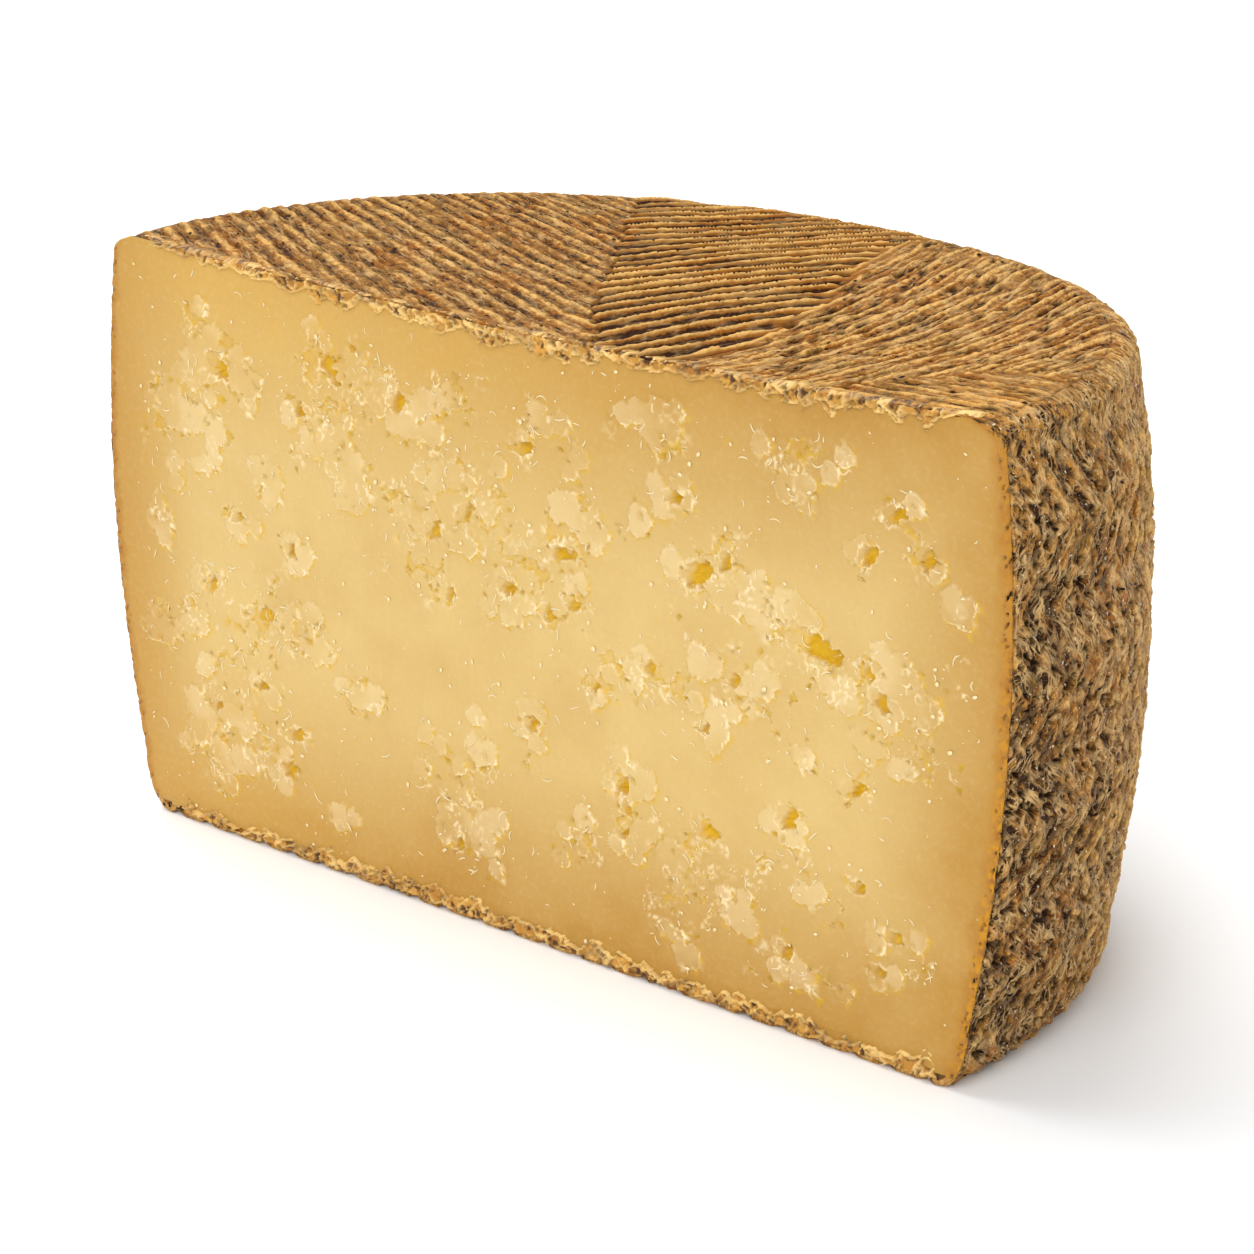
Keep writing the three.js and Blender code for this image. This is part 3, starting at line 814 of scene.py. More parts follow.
def fine_level(x, z, luck, active):
    mood = rough(x / 4, z / 4, 113)
    level = np.where((active > 0.4) & (luck + 0.5 * mood > 0.98), 0.13, 0.0)
    return np.where((active > 0.4) & (luck + 0.35 * mood < 0.1), -0.5, level)


GRANULES = make_granules(COARSE, 101, (0.7, 1.1), coarse_level)
CRUMBLE = make_granules(FINE, 117, (0.64, 1.12), fine_level)


def disc_level(x, z, granules):
    """Height of the highest disc, mm inside raised and unsunk discs, and how far a raised edge
    looks down and to the right."""
    grain, disc_xs, disc_zs, levels, leans, sizes = granules
    highest = np.full(x.shape, -1.4)
    raised = np.full(x.shape, -1.6)
    unsunk = np.full(x.shape, -1.6)
    facing = np.zeros(x.shape)
    column = np.floor((x - FACE_SPAN[0]) / grain).astype(int)
    row = np.floor((z - FACE_SPAN[1]) / grain).astype(int)
    for right in (-2, -1, 0, 1, 2):
        for up in (-2, -1, 0, 1, 2):
            spot = (np.clip(column + right, 0, levels.shape[0] - 1),
                    np.clip(row + up, 0, levels.shape[1] - 1))
            off_x, off_z = x - disc_xs[spot], z - disc_zs[spot]
            away = np.hypot(off_x, off_z)
            inner = sizes[spot] - away
            level = levels[spot] + leans[spot] * (off_x - off_z)
            highest = np.maximum(highest, level - PLATE_DROP * np.maximum(-inner, 0))
            standing = np.where(levels[spot] > 0.1, inner, -1.6)
            facing = np.where(standing > raised, (off_x - off_z) / (away + 0.1), facing)
            raised = np.maximum(raised, standing)
            unsunk = np.maximum(unsunk, np.where(levels[spot] > -0.1, inner, -1.6))
    return highest, raised, unsunk, facing


def thin_rim(inner):
    """1 just inside an outline, 0 everywhere else."""
    return ease(-0.1, 0.0, inner) * ease(RIM, 0.3 * RIM, inner)


def eye_depth(x, z, spot, lobe, luck):
    """How deep an eye is and how far a place lies inside it. It slopes in from the upper left."""
    radius = min(spot[2], spot[3]) / 2
    inside = (1 - oval(x, z, spot)) * radius - (0.8 + 0.3 * radius) * lobe + 0.4
    inside = np.where(oval(x, z, spot) < 2.4, inside, -9)
    steep = ease(-0.7 * radius, 0.6 * radius, (x - spot[0]) - 0.6 * (z - spot[1]))
    bottom = (0.9 + 0.6 * radius + 0.4 * (luck - 0.5)) * (0.4 + 0.6 * steep)
    return bottom * (1 - np.exp(-np.maximum(inside, 0) / (0.75 - 0.5 * steep))), inside


def cut_relief(x, z):
    """Height of the torn paste in mm, its pale parts with painted rim highlights, its painted
    golden shade, and mm to the next outline.
    """
    active = unrest_all(x, z)
    warp_x, warp_z = (
        0.65 * rough(x / 1.9, z / 1.9, broad) + 0.25 * rolling(x / 0.6, z / 0.6, small)
        for broad, small in ((127, 131), (137, 139)))
    plates, in_plate, in_skin, facing = disc_level(x + warp_x, z + warp_z, GRANULES)
    bits, in_bit, in_fine, _ = disc_level(x + 0.5 * warp_x, z + 0.5 * warp_z, CRUMBLE)
    # painted highlight: the pale line inside a plate's outline is strongest where the edge looks
    # down and to the right
    rim = thin_rim(in_plate) * (0.25 + 0.75 * ease(-0.4, 0.7, facing))
    rim = np.maximum(rim, 0.6 * thin_rim(in_skin))
    bit_rim = thin_rim(in_bit)
    border = np.minimum(np.abs(in_plate), np.abs(in_skin))
    small_border = np.minimum(np.abs(in_bit), np.abs(in_fine)) + 0.1
    border = np.minimum(border, np.where(active > 0.4, small_border, 9))

    first, _, luck = grains((x + warp_x) / 1.9, (z + warp_z) / 1.7, 149)
    depth = np.zeros(x.shape)
    eye_rim = np.zeros(x.shape)
    for spot in EYES:
        deep, inside = eye_depth(x + 0.6 * warp_x, z + 0.6 * warp_z, spot, 0.55 - first, luck)
        depth = np.maximum(depth, deep)
        eye_rim = np.maximum(eye_rim, ease(-0.3, -0.08, inside) * ease(0.05, -0.05, inside))
        border = np.minimum(border, np.maximum(-inside, 0))
    # tiny holes here and there among the granules
    pin = dotted(x / 2.4, z / 2.0, 151, (0.78, 0.84), (0.2, 0.08)) * ease(0.08, 0.3, active)

    height = plates + bits + 0.07 * rim + 0.05 * eye_rim - 0.9 * pin
    height = height + 0.1 * rough(x / 22, z / 22, 167)
    height = np.minimum(height, 0.35 - depth)
    # painted shade: beside an outline the lower side gets a golden shade, as do the depths
    under_plate = ease(-0.6, -0.1, in_plate) * ease(0.04, -0.06, in_plate)
    under_plate = under_plate * ease(-0.4, 0.5, facing)
    under_skin = ease(-0.65, -0.1, in_skin) * ease(0.04, -0.06, in_skin)
    golden_shade = np.maximum(ease(0.1, 1.2, -height), 0.65 * np.maximum(under_plate, under_skin))
    # the painted highlights on the rims vary in strength from place to place
    highlight_share = ease(-0.25, 0.5, rough(x / 2.2, z / 2.2, 169))
    pale_plate = 0.05 + 0.2 * ease(-0.2, 0.4, rough(x / 9, z / 9, 168))
    rims = rim + 0.8 * bit_rim + 0.7 * eye_rim
    light = pale_plate * ease(-0.1, 0.1, in_plate) + (0.25 + 0.75 * highlight_share) * rims
    light = np.clip(light, 0, 1) * (1 - ease(0.1, 0.6, depth))
    return height, light, np.clip(golden_shade + 0.6 * pin, 0, 1), border

# %% [markdown]
# ## Paste
# The paste starts as a coarse grid in the outline of the cut. Fine cells are only worth their cost
# where the curd is torn, so those faces are picked in code and subdivided in edit mode, three
# times over, each time in a narrower strip along the outlines. Then the edge is extruded back
# twice, a short step and a long one, and closed. That makes a solid plug in the mouth of the rind.

# %% Lay the grid into the outline of the cut
PASTE_COLUMNS, PASTE_ROWS = 172, 96
PASTE_INSET = 0.12  # the rind's crests reach past the paste's edge
# mm from a torn outline and from the wall, within which each round divides the faces
ROUNDS = ((0.5, 2.8), (0.155, 1.6), (0.05, 0.0))
# how far each extrusion goes back, and what it shrinks to
PLUG = [((0, 1.2 * MM, 0), (0.985, 1, 0.98)), ((0, 24 * MM, 0), (0.97, 1, 0.96))]

paste, sheet = add_grid("paste", PASTE_COLUMNS, PASTE_ROWS)
u, v = sheet[:, 0], (sheet[:, 1] + 1) / 2
flat_z = 3 * PASTE_INSET + v * (HEIGHT - 6 * PASTE_INSET)
flat_x = u * (half_width(flat_z) - PASTE_INSET)
dish = SAG * np.clip(1 - (flat_x / FLAT) ** 2, 0, 1) * (flat_z / HEIGHT) ** 4
cut_x, _, cut_z = settle(flat_x, np.zeros(len(u)), flat_z - dish)
write_points(paste, np.stack([cut_x, np.zeros(len(u)), cut_z], axis=-1))

# %% Subdivide where the curd is torn
def refine(thing, is_busy):
    """Divides the faces whose middles the rule picks into four."""
    select_only(thing)
    faces = thing.data.polygons
    centres = np.empty(3 * len(faces))
    faces.foreach_get("center", centres)
    centres = centres.reshape(-1, 3)
    bpy.ops.object.mode_set(mode="EDIT")
    bpy.ops.mesh.select_mode(type="FACE")
    bpy.ops.mesh.select_all(action="DESELECT")
    bpy.ops.object.mode_set(mode="OBJECT")
    faces.foreach_set("select", is_busy(centres[:, 0], centres[:, 2]))
    bpy.ops.object.mode_set(mode="EDIT")
    bpy.ops.mesh.subdivide(number_cuts=1)
    bpy.ops.object.mode_set(mode="OBJECT")
    print(thing.name, "has", len(thing.data.polygons), "faces")


for reach_of_outline, reach_of_wall in ROUNDS:
    refine(paste, lambda x, z: (cut_relief(x, z)[3] < reach_of_outline)
           | (outline_gap(x, z)[0] < reach_of_wall))

# %% Push the torn curd into the face and close the paste behind
face = read_points(paste)
face_x, face_z = face[:, 0], face[:, 2]
to_wall, to_top, to_base = outline_gap(face_x, face_z)
inside = np.minimum(to_wall, np.minimum(to_top, to_base))
curd, light, golden_shade, _ = cut_relief(face_x, face_z)
calm_edge = ease(0.4, 2.5, inside)
under_top_lip = ease(2.2, 0.5, to_top) * ease(88, 78, np.abs(face_x))
behind_lip = 0.5 * np.maximum(ease(3.2, 0.8, to_base), under_top_lip)

# beside the right-hand rind the paste is pocked with small holes of all shapes, painted dark as
# shade
right_side = ease(-20, 20, face_x)
poke_wave = 0.6 * rough(face_x / 1.1, face_z / 1.3, 171)
poke_first, _, poke_luck = grains(face_x / 1.0 + poke_wave, face_z / 1.4 + poke_wave, 173)
crowded = 0.3 * rough(0 * face_x, face_z / 7, 175)
poke = ease(0.45, 0.8, poke_luck + crowded) * ease(0.36, 0.16, poke_first)
poke = poke * ease(2.4, 0.8, to_wall) * (0.5 + 0.5 * right_side)
beads = 0.45 * (0.5 - poke_first) * ease(3.0, 1.2, to_wall)
# lower down on that side the paste welled out in small golden beads
bead_first, _, bead_luck = grains(face_x / 1.5 + poke_wave, face_z / 1.8 + 0.5 * poke_wave, 177)
bead = ease(0.62, 0.2, bead_first) * ease(3.3 - 1.2 * bead_luck, 1.2 - 0.5 * bead_luck, to_wall)
bead = bead * ease(20, 60, face_x) * (0.3 + 0.7 * ease(90, 40, face_z))
beads = beads + 0.3 * bead
rolled = 0.2 * ease(0.6, 0.1, to_wall)
face_depth = behind_lip + rolled - curd * calm_edge + 0.7 * poke - beads
write_points(paste, to_frame(face_x, face_depth, face_z))
store(paste, "light", light * calm_edge)
store(paste, "golden_shade", golden_shade * calm_edge)
store(paste, "poke", poke)
store(paste, "bead", bead)
store(paste, "from_wall", to_wall * (1.5 - 0.5 * right_side))
store(paste, "from_ends", np.minimum(to_top, to_base))
middle = (AXIS_X * MM, CUT_Y * MM, HEIGHT / 2 * MM)
close_behind(paste, PLUG, middle)
attach(paste)

# %% [markdown]
# ## Curls and crumbs
# A knife leaves litter on such a face: crumbs of paste and fine curls that it shaved off. They are
# far thinner than the grid's cells, so they are things of their own. One crumb is a squashed ball
# and one curl is a stretched ball bent along an arc; each copy gets its own size, turn and bend,
# and all of them are joined.

# %% Make one crumb or curl
SCRAPS = 2600  # places tried
CURLY_SHARE = 0.3


def lay_scrap(ball, x, z, length, width, turn, bend):
    """A ball's points, drawn out into a thin scrap on the cut: sizes in mm, turns in radians."""
    along = ball[:, 2]  # the pole axis becomes the scrap's length
    angle = turn + bend * along
    middle_x = np.sin(bend * along) / bend if abs(bend) > 0.05 else along
    middle_z = (1 - np.cos(bend * along)) / bend if abs(bend) > 0.05 else 0 * along
    line_x = length * (middle_x * math.cos(turn) - middle_z * math.sin(turn))
    line_z = length * (middle_x * math.sin(turn) + middle_z * math.cos(turn))
    place_x = x + line_x - width * ball[:, 0] * np.sin(angle)
    place_z = z + line_z + width * ball[:, 0] * np.cos(angle)
    return place_x, 0.35 * width * ball[:, 1], place_z


def scatter_scraps(count):
    """Places for crumbs and curls: most near torn curd, some anywhere, by a rule of chance."""
    number = np.arange(count)
    draw = [chance(number, np.full(count, k), 181) for k in range(8)]
    x, z = 190 * (draw[0] - 0.5), 2.5 + 106 * draw[1]
    busy = unrest_all(x, z)
    near_torn = (busy > 0.12) & (busy < 0.9)
    placed = (np.minimum.reduce(outline_gap(x, z)) > 2) & (draw[2] < 0.2 + 0.6 * near_torn)
    curly = draw[3] < CURLY_SHARE
    length = np.where(curly, 0.9 + 2.2 * draw[4] ** 2, 0.28 + 0.7 * draw[4] ** 3)
    width = np.where(curly, 0.22 + 0.12 * draw[5], length * (0.55 + 0.4 * draw[5]))
    bend = np.where(curly, 5 * draw[6] - 2.5, 0)
    ground = cut_relief(x, z)[0]
    return np.stack([x, z, length, width, 6.3 * draw[7], bend, ground], axis=-1)[placed]


bpy.ops.object.select_all(action="DESELECT")
bpy.ops.mesh.primitive_uv_sphere_add(segments=6, ring_count=7, radius=0.5)
crumbs = bpy.context.active_object
crumbs.name = crumbs.data.name = "crumbs"
ball = read_points(crumbs)
spots = scatter_scraps(SCRAPS)
for *spot, ground in spots:
    scrap = crumbs.copy()
    scrap.data = crumbs.data.copy()
    bpy.context.collection.objects.link(scrap)
    scrap_x, lift, scrap_z = lay_scrap(ball, *spot)
    write_points(scrap, to_frame(scrap_x, -(ground + 0.25 * spot[3]) - lift, scrap_z))
    scrap.select_set(True)
first_x, lift, first_z = lay_scrap(ball, 8.0, 55.0, 0.5, 0.4, 1.0, 0.0)
write_points(crumbs, to_frame(first_x, -lift - 0.1, first_z))
bpy.ops.object.join()
attach(crumbs)
print(len(spots) + 1, "scraps joined")

# %% [markdown]
# ## Torn lips
# Along the top and the base the knife dragged rind over the paste. What it left is a narrow frill:
# a row of shallow cups, each with a thin pale rim. It is a ribbon, again a grid, whose cups are
# scattered points squeezed along the edge. The rim is where two cups meet, which is the line of
# equal distance between two points.

# %% Frill along an edge of the cut
LIP_COLUMNS, LIP_ROWS = 700, 22
CUP_WIDTH, CUP_HEIGHT = 2.3, 2.9  # of one cup of the frill
LIP_THICK = 3.0


def lip_relief(x, up, seed, reach):
    """Height of the frill in mm and how pale it is, at x along and up from the edge."""
    wave = 0.8 * rough(x / 3.0, up / 2, seed)
    wave = wave + 0.35 * rolling(x / 0.8, up / 0.8, seed + 9)
    cell_x, cell_up = (x + 1.7 * wave) / CUP_WIDTH, (up + 0.8 * wave) / CUP_HEIGHT + 0.3
    first, second, luck = grains(cell_x, cell_up, seed + 3, 0.95)
    cup = np.clip(first / 0.6, 0, 1) ** 2
    rim = np.exp(-(((second - first) / 0.13) ** 2))
    open_cup = ease(0.05, 0.4, luck)
    small_first, small_second, _ = grains((x + wave) / 1.1, up / 1.3, seed + 7)
    frizz = np.exp(-(((small_second - small_first) / 0.22) ** 2)) * ease(0.9, 0.3, open_cup)
    height = -0.25 + 0.5 * cup * open_cup + 0.5 * rim + 0.35 * frizz + 0.3 * (1 - open_cup)
    fringe = reach * (0.75 + 0.45 * sway(x, 2.6, seed + 11) + 0.5 * (luck - 0.5))
    hem = np.exp(-(((up - fringe) / 0.28) ** 2))
    height = np.maximum(height, 0.65 * hem)
    height = height - 1.6 * ease(0.0, 0.4, up - fringe - 0.1)
    pale = np.clip(0.95 * rim + 0.8 * frizz + 0.95 * hem + 0.25 * (1 - open_cup), 0, 1)
    pale = pale * (0.45 + 0.55 * ease(-0.4, 0.3, rough(x / 5, up / 3, seed + 13)))
    return np.clip(height, -0.6, LIP - 0.05), pale, luck


def make_lip(name, half_length, edge_at, seed, reach_at):
    """A frill from -half_length to half_length. edge_at gives its edge's height and direction."""
    lip, sheet = add_grid(name, LIP_COLUMNS, LIP_ROWS)
    x = half_length * sheet[:, 0]
    share = (sheet[:, 1] + 1) / 2
    reach = reach_at(x)
    up = share * (1.45 * reach + 0.5)
    edge, direction = edge_at(x)
    height, pale, luck = lip_relief(x, up, seed, reach)
    ends = ease(half_length, half_length - 6, np.abs(x))
    height = (height + 0.5) * ends - 0.5
    depth = -height + 1.2 * ease(0.5, 0.0, up)  # starts inside the rind and comes forward
    write_points(lip, to_frame(x, depth, edge + direction * up))
    store(lip, "pale", pale)
    store(lip, "luck", luck)
    close_behind(lip, [((0, LIP_THICK * MM, 0), (1, 1, 0.99))], middle)
    attach(lip)
    return lip


def base_edge(x):
    return 0.2 + 0.15 * sway(x, 2.6, 193), 1


def top_edge(x):
    _, to_top, _ = outline_gap(x, np.full(x.shape, HEIGHT - 4))
    return HEIGHT - 4 + to_top - 0.1 + 0.25 * sway(x, 2.4, 197), -1


def base_reach(x):
    return 3.5 + 1.1 * sway(x, 11, 199) + 0.3 * ease(20, 80, x)


def top_reach(x):
    right = 0.55 + 0.45 * ease(-70, -50, x)
    torn = 2.2 + 0.8 * sway(x, 11, 211)
    scrap = 1.2 * np.exp(-(((x - 62) / 6) ** 2))
    return np.maximum(0.35, (0.4 + torn * right + scrap) * ease(91, 84, x))


base_lip = make_lip("torn_lip_base", 90, base_edge, seed=223, reach_at=base_reach)
top_lip = make_lip("torn_lip_top", 92, top_edge, seed=227, reach_at=top_reach)

# %% [markdown]
# ## Paints
# A material is a small network of nodes. The helpers below keep such a network readable: `put`
# adds a node and fills or links its sockets by name, `blend` mixes two colours and `spread` turns
# a range of values into a share. Colours are given as they look on a screen, from 0 to 255.

# %% Helpers for materials
def screen(red, green, blue):
    """A colour as seen on a screen, 0 to 255, as the linear light that a shader needs."""
    parts = np.array([red, green, blue]) / 255
    linear = np.where(parts < 0.04, parts / 12.92, ((parts + 0.055) / 1.055) ** 2.4)
    return [*linear.tolist(), 1]


def fill(tree, node, sockets):
    """Links or sets a node's sockets, given by name or by number."""
    for name, value in sockets.items():
        socket = node.inputs[name.replace("_", " ") if isinstance(name, str) else name]
        if isinstance(value, bpy.types.NodeSocket):
            tree.links.new(value, socket)
        else:
            socket.default_value = value


def put(tree, kind, settings=None, **sockets):
    node = tree.nodes.new("ShaderNode" + kind)
    for name, value in (settings or {}).items():
        setattr(node, name, value)
    fill(tree, node, sockets)
    return node


def blend(tree, share, first, second):
    node = put(tree, "Mix", {"data_type": "RGBA"})
    fill(tree, node, {0: share, 6: first, 7: second})
    return node.outputs[2]


def layered(tree, colour, *layers):
    """A colour under layers of others, each with the share that it covers."""
    for share, paint in layers:
        colour = blend(tree, share, colour, paint)
    return colour


def spread(tree, value, low, high, to_low=0.0, to_high=1.0):
    return put(tree, "MapRange", None, Value=value, From_Min=low, From_Max=high, To_Min=to_low,
               To_Max=to_high).outputs["Result"]


def maths(kind):
    """A function that puts a Math node of this kind."""
    def put_maths(tree, first, second=0.0):
        node = put(tree, "Math", {"operation": kind})
        fill(tree, node, {0: first, 1: second})
        return node.outputs[0]
    return put_maths


plus, minus, times = maths("ADD"), maths("SUBTRACT"), maths("MULTIPLY")
larger, smaller, unsigned = maths("MAXIMUM"), maths("MINIMUM"), maths("ABSOLUTE")


def kept(tree, name, part="Fac"):
    """What `store` kept on the mesh under this name."""
    return put(tree, "Attribute", {"attribute_name": name}).outputs[part]


def on_vectors(tree, kind, first, second, part="Vector"):
    node = put(tree, "VectorMath", {"operation": kind})
    fill(tree, node, {0: first, 1: second})
    return node.outputs[part]


def in_millimetres(tree):
    """The place on the object in millimetres."""
    place = put(tree, "TexCoord").outputs["Object"]
    return on_vectors(tree, "MULTIPLY", place, (1 / MM, 1 / MM, 1 / MM))


def stretched(tree, vector, across, along):
    """A place divided by a cell size across and along the fibres."""
    return on_vectors(tree, "MULTIPLY", vector, (1 / across, 1 / along, 1))


def cloud(tree, place, size, detail=3.0, roughness=0.55):
    """Soft noise with patches of about this size."""
    return put(tree, "TexNoise", None, Vector=place, Scale=1 / size, Detail=detail,
               Roughness=roughness).outputs["Fac"]


def bump(tree, height, strength, millimetres, **under):
    """A surface direction that follows a height, over the one in Normal if there is one."""
    return put(tree, "Bump", None, Height=height, Strength=strength, Distance=millimetres * MM,
               **under).outputs["Normal"]


def new_paint(name):
    paint = bpy.data.materials.new(name)
    paint.use_nodes = True
    return paint, paint.node_tree, paint.node_tree.nodes["Principled BSDF"]

# %% [markdown]
# ### Paste
# Pressed paste glows a little, because light goes in and comes out nearby, so it gets some
# subsurface scattering. It is palest in the middle and more golden within a finger's width of the
# rind, partly because it dried there and partly as painted light, which also makes the upper left
# paler than the lower right. Plates are dry and pale, with painted highlights along their
# outlines. The depths of the eyes and beds, and the lower side beside each outline, get a saturated
# golden painted shade.

# %% Paint the paste
PASTE_HEART = screen(207, 177, 112)
PASTE_GOLD = screen(178, 134, 58)
PASTE_LIT_GOLD = screen(200, 160, 80)
PASTE_UNDER_RIND = screen(170, 116, 36)
PASTE_SKIN = screen(150, 98, 36)
PASTE_PLATE = screen(236, 217, 174)
PASTE_GOLDEN_SHADE = screen(212, 169, 30)
PASTE_POKE_SHADE = screen(96, 54, 14)
PASTE_BEAD = screen(192, 134, 22)
SCRAP_PALE = screen(238, 224, 186)
SCRAP_GOLD = screen(226, 198, 134)


def paint_paste(name, is_scrap=False):
    paint, tree, shader = new_paint(name)
    place = in_millimetres(tree)
    if is_scrap:
        colour = blend(tree, cloud(tree, place, 2.0), SCRAP_PALE, SCRAP_GOLD)
        fill(tree, shader, {"Base Color": colour})
    else:
        mottle = cloud(tree, place, 14)
        from_wall = kept(tree, "from_wall")
        ends = kept(tree, "from_ends")
        nearest = smaller(tree, times(tree, from_wall, 1.3), ends)
        ragged = plus(tree, nearest, spread(tree, mottle, 0.3, 0.7, -6, 6))
        # painted light: the upper left is paler than the lower right
        parts = put(tree, "SeparateXYZ", None, Vector=place)
        light_slope = times(tree, parts.outputs["Z"], 0.8)
        light_slope = minus(tree, light_slope, parts.outputs["X"])
        edge_tone_and_light = blend(tree, spread(tree, light_slope, 20, 130), PASTE_GOLD, PASTE_LIT_GOLD)
        under = plus(tree, from_wall, spread(tree, cloud(tree, place, 3.0), 0.3, 0.7, -1.2, 1.2))
        fine = cloud(tree, place, 1.1, 4)
        # the paler middle is partly the paste's own colour and partly painted light
        colour = layered(
            tree, edge_tone_and_light,
            (spread(tree, ragged, 4, 34), PASTE_HEART),
            (spread(tree, mottle, 0.35, 0.8, 0, 0.35), PASTE_GOLD),
            (spread(tree, parts.outputs["X"], -76, -98, 0, 0.75), PASTE_GOLD),  # the left edge
            (spread(tree, fine, 0.5, 0.75, 0, 0.08), PASTE_PLATE),
            (spread(tree, under, 3.6, 0.9, 0, 0.9), PASTE_UNDER_RIND),
            (kept(tree, "golden_shade"), PASTE_GOLDEN_SHADE),
            (kept(tree, "light"), PASTE_PLATE),
            (spread(tree, under, 0.5, -0.1), PASTE_SKIN),
            (kept(tree, "bead"), PASTE_BEAD),
            (kept(tree, "poke"), PASTE_POKE_SHADE),
        )
        grain = bump(tree, cloud(tree, place, 0.5, 5, 0.6), 0.5, 0.12)
        broad = bump(tree, cloud(tree, place, 3.5, 3), 0.5, 0.5, Normal=grain)
        fill(tree, shader, {"Base Color": colour, "Normal": broad})
    fill(tree, shader, {
        "Roughness": 0.46,
        "Specular IOR Level": 0.25,
        "Subsurface Weight": 0.22,
        "Subsurface Radius": (1.0, 0.6, 0.16),
        "Subsurface Scale": 1.2 * MM,
    })
    return paint


paste.data.materials.append(paint_paste("torn_paste"))
crumbs.data.materials.append(paint_paste("dry_scraps", is_scrap=True))

# %% [markdown]
# ### Rind
# The rind is dry, waxed and handled. Its colour follows its form: its grooves and pits are painted
# dark as shade, and its crests pale as painted highlights. Fibres are laid over that as fine pale
# lines: a noise is drawn out along the fibres, and a line runs wherever it crosses its middle
# value.
# The top has one set of them, along its ridges, and the belt has two more, hanging and across.
# Small holes painted dark as shade lie between them. The belt also gets painted glints, and painted
# light and shade that leave it darker beside the cut and lighter further back.

# %% Paint the rind
# the groove and pit colours are painted shade, and the crest and glint colours are painted
# highlights
RIND_GROOVE_SHADE = screen(50, 24, 4)
RIND_TAN = screen(150, 101, 42)
RIND_WALL = screen(148, 100, 42)
RIND_CREST_HIGHLIGHT = screen(226, 178, 102)
RIND_AMBER = screen(150, 90, 22)
RIND_GREY = screen(104, 76, 44)
RIND_OLIVE = screen(112, 84, 28)
RIND_PIT_SHADE = screen(30, 14, 4)
RIND_HAIR = screen(222, 182, 122)
RIND_OCHRE = screen(196, 138, 62)
RIND_GLINT = screen(232, 214, 182)
TOP_RIGHT_CORNER = (94, -44, 107)  # mm


def hairs(tree, place, across, along, wide):
    """Lines so many mm wide along the second axis, where a drawn-out noise crosses its middle."""
    noise = cloud(tree, stretched(tree, place, across, along), 1.0, 2.0, 0.5)
    away = unsigned(tree, minus(tree, noise, 0.5))
    reach = 0.4 * wide / across
    return spread(tree, away, reach, 0.3 * reach)


def holes(tree, place, across, along, wide):
    """Small holes painted dark as shade, in about every second cell."""
    cells = put(tree, "TexVoronoi", None, Vector=stretched(tree, place, across, along), Scale=1.0)
    chosen = put(tree, "SeparateColor", None, Color=cells.outputs["Color"]).outputs[0]
    hole = spread(tree, cells.outputs["Distance"], wide, 0.5 * wide)
    return times(tree, hole, spread(tree, chosen, 0.45, 0.55))


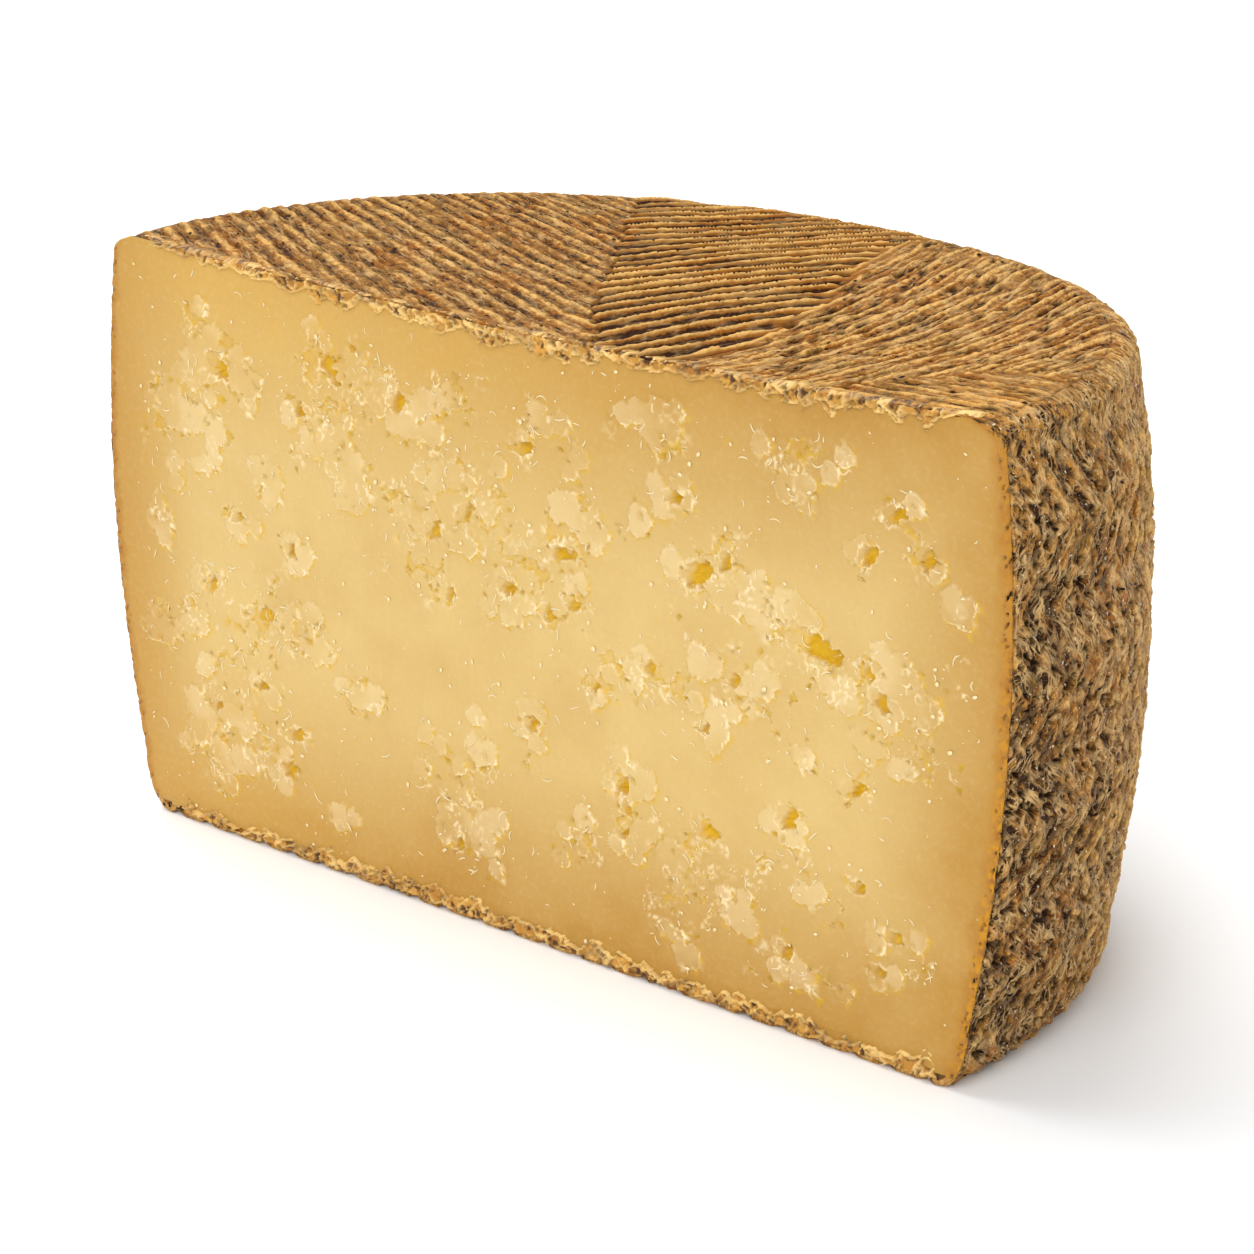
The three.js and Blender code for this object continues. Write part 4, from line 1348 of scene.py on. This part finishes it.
def paint_rind(name):
    paint, tree, shader = new_paint(name)
    place = in_millimetres(tree)
    fibre = kept(tree, "fibre", "Vector")
    belt = kept(tree, "belt")
    loose = kept(tree, "loose")
    upright = on_vectors(tree, "MULTIPLY", place, (1, 1, 0.2))

    # three sets of fibres: along the ridges, hanging over the belt, and across it
    seen = spread(tree, cloud(tree, place, 4, 3), 0.4, 0.65, 0.15, 1.0)
    hair = times(tree, hairs(tree, fibre, 1.3, 10.0, 0.22), loose)
    over = hairs(tree, upright, 1.9, 1.9, 0.26)
    athwart = hairs(tree, fibre, 8.0, 2.1, 0.24)
    over = times(tree, larger(tree, over, athwart), belt)
    lines = times(tree, larger(tree, hair, over), seen)
    pits = holes(tree, fibre, 1.9, 3.4, 0.2)
    pits = times(tree, pits, spread(tree, loose, 0.5, 0.8))
    pits = larger(tree, kept(tree, "pit"), pits)
    streak = cloud(tree, stretched(tree, fibre, 0.5, 1.8), 1.0, 4, 0.7)
    patches = cloud(tree, place, 13, 4, 0.6)
    small = cloud(tree, place, 1.6, 5, 0.75)

    dull = plus(tree, times(tree, belt, 0.5), 0.2)
    grey = spread(tree, cloud(tree, place, 8, 4, 0.65), 0.5, 0.62)
    olive = spread(tree, cloud(tree, place, 5.2, 3, 0.6), 0.54, 0.68)
    # the upper right corner and the wall's end beside the cut are ochre
    from_corner = on_vectors(tree, "DISTANCE", place, TOP_RIGHT_CORNER, "Value")
    depth = put(tree, "SeparateXYZ", None, Vector=place).outputs["Y"]
    near_cut = times(tree, spread(tree, depth, CUT_Y + 5.5, CUT_Y + 0.5), belt)
    pores = times(tree, holes(tree, place, 1.2, 1.2, 0.3), near_cut)
    pits = larger(tree, pits, pores)
    ochre = larger(tree, spread(tree, from_corner, 24, 8), near_cut)
    ochre = times(tree, ochre, spread(tree, patches, 0.35, 0.6, 0.4, 1.0))
    ground = layered(
        tree, RIND_TAN,
        (belt, RIND_WALL),
        (spread(tree, patches, 0.45, 0.58), RIND_AMBER),
        (times(tree, grey, dull), RIND_GREY),
        (times(tree, olive, dull), RIND_OLIVE),
        (ochre, RIND_OCHRE),
    )

    # painted light and shade: the crest value makes crests pale as highlights and grooves dark as
    # shade
    lit = spread(tree, streak, 0.3, 0.7, -0.3, 0.3)
    lit = plus(tree, lit, spread(tree, small, 0.3, 0.7, -0.4, 0.4))
    lit = plus(tree, kept(tree, "crest"), times(tree, lit, loose))
    # painted light and shade: the belt is darker beside the cut and lighter further back
    painted_light_behind = spread(tree, depth, CUT_Y + 2, CUT_Y + 55, -0.22, 0.27)
    lit = plus(tree, lit, times(tree, painted_light_behind, belt))
    strong = spread(tree, belt, 0.0, 1.0, 0.65, 0.85)
    # painted glints: small pale specks on the belt stand in for highlights
    painted_glints = times(tree, spread(tree, cloud(tree, place, 0.7, 2), 0.66, 0.72), belt)
    colour = layered(
        tree, RIND_GROOVE_SHADE,
        (spread(tree, lit, 0.08, 0.4), ground),
        (spread(tree, lit, 0.55, 1.0, 0, 0.95), RIND_CREST_HIGHLIGHT),
        (times(tree, lines, strong), RIND_HAIR),
        (painted_glints, RIND_GLINT),
        (pits, RIND_PIT_SHADE),
    )
    drawn = bump(tree, times(tree, minus(tree, streak, 0.5), loose), 0.9, 0.3)
    net = bump(tree, minus(tree, lines, pits), 1.0, 0.3, Normal=drawn)
    fill(tree, shader, {
        "Base Color": colour,
        "Normal": bump(tree, cloud(tree, place, 0.8, 4, 0.6), 0.8, 0.4, Normal=net),
        "Roughness": spread(tree, small, 0.3, 0.7, 0.45, 0.65),
        "Specular IOR Level": 0.08,
    })
    return paint


rind_paint = paint_rind("pressed_rind")
for piece in (wall, top, base):
    piece.data.materials.append(rind_paint)

# %% [markdown]
# ### Frill
# The frill is paste and rind smeared together: brown and translucent in its cups, cream on its
# rims, with grey scraps of the waxed outside here and there, and patches painted dark as the shade
# of its hollows.

# %% Paint the frill
FRILL_BROWN = screen(140, 86, 26)
FRILL_AMBER = screen(208, 154, 62)
FRILL_HOLLOW_SHADE = screen(80, 44, 12)
FRILL_CREAM = screen(244, 212, 138)
FRILL_GOLD = screen(214, 164, 80)


def paint_frill(name):
    paint, tree, shader = new_paint(name)
    place = in_millimetres(tree)
    cream = blend(tree, cloud(tree, place, 2.2), FRILL_CREAM, FRILL_GOLD)
    colour = layered(
        tree, FRILL_BROWN,
        (kept(tree, "luck"), FRILL_AMBER),
        # patches painted dark as the shade of the frill's hollows
        (spread(tree, cloud(tree, place, 1.6, 4), 0.46, 0.6), FRILL_HOLLOW_SHADE),
        (spread(tree, cloud(tree, place, 9, 3), 0.6, 0.66, 0, 0.6), RIND_GREY),
        (kept(tree, "pale"), cream),
    )
    fill(tree, shader, {
        "Base Color": colour,
        "Normal": bump(tree, cloud(tree, place, 0.6, 4), 0.6, 0.2),
        "Roughness": 0.42,
        "Specular IOR Level": 0.3,
        "Subsurface Weight": 0.15,
        "Subsurface Radius": (1.0, 0.5, 0.15),
        "Subsurface Scale": 1.0 * MM,
    })
    return paint


frill_paint = paint_frill("smeared_frill")
for lip in (base_lip, top_lip):
    lip.data.materials.append(frill_paint)

# %% [markdown]
# ## Measure and finish
# The dressed wheel has to fill the same space as the solid. Both boxes are kept, so that they can
# be compared.

# %% Print the sizes and finish
visual_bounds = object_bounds()
sizes = {"cad": [list(c) for c in cad_bounds], "visual": [list(c) for c in visual_bounds]}
for name, corners in sizes.items():
    print(name, "mm:", [[round(value / MM, 2) for value in corner] for corner in corners])
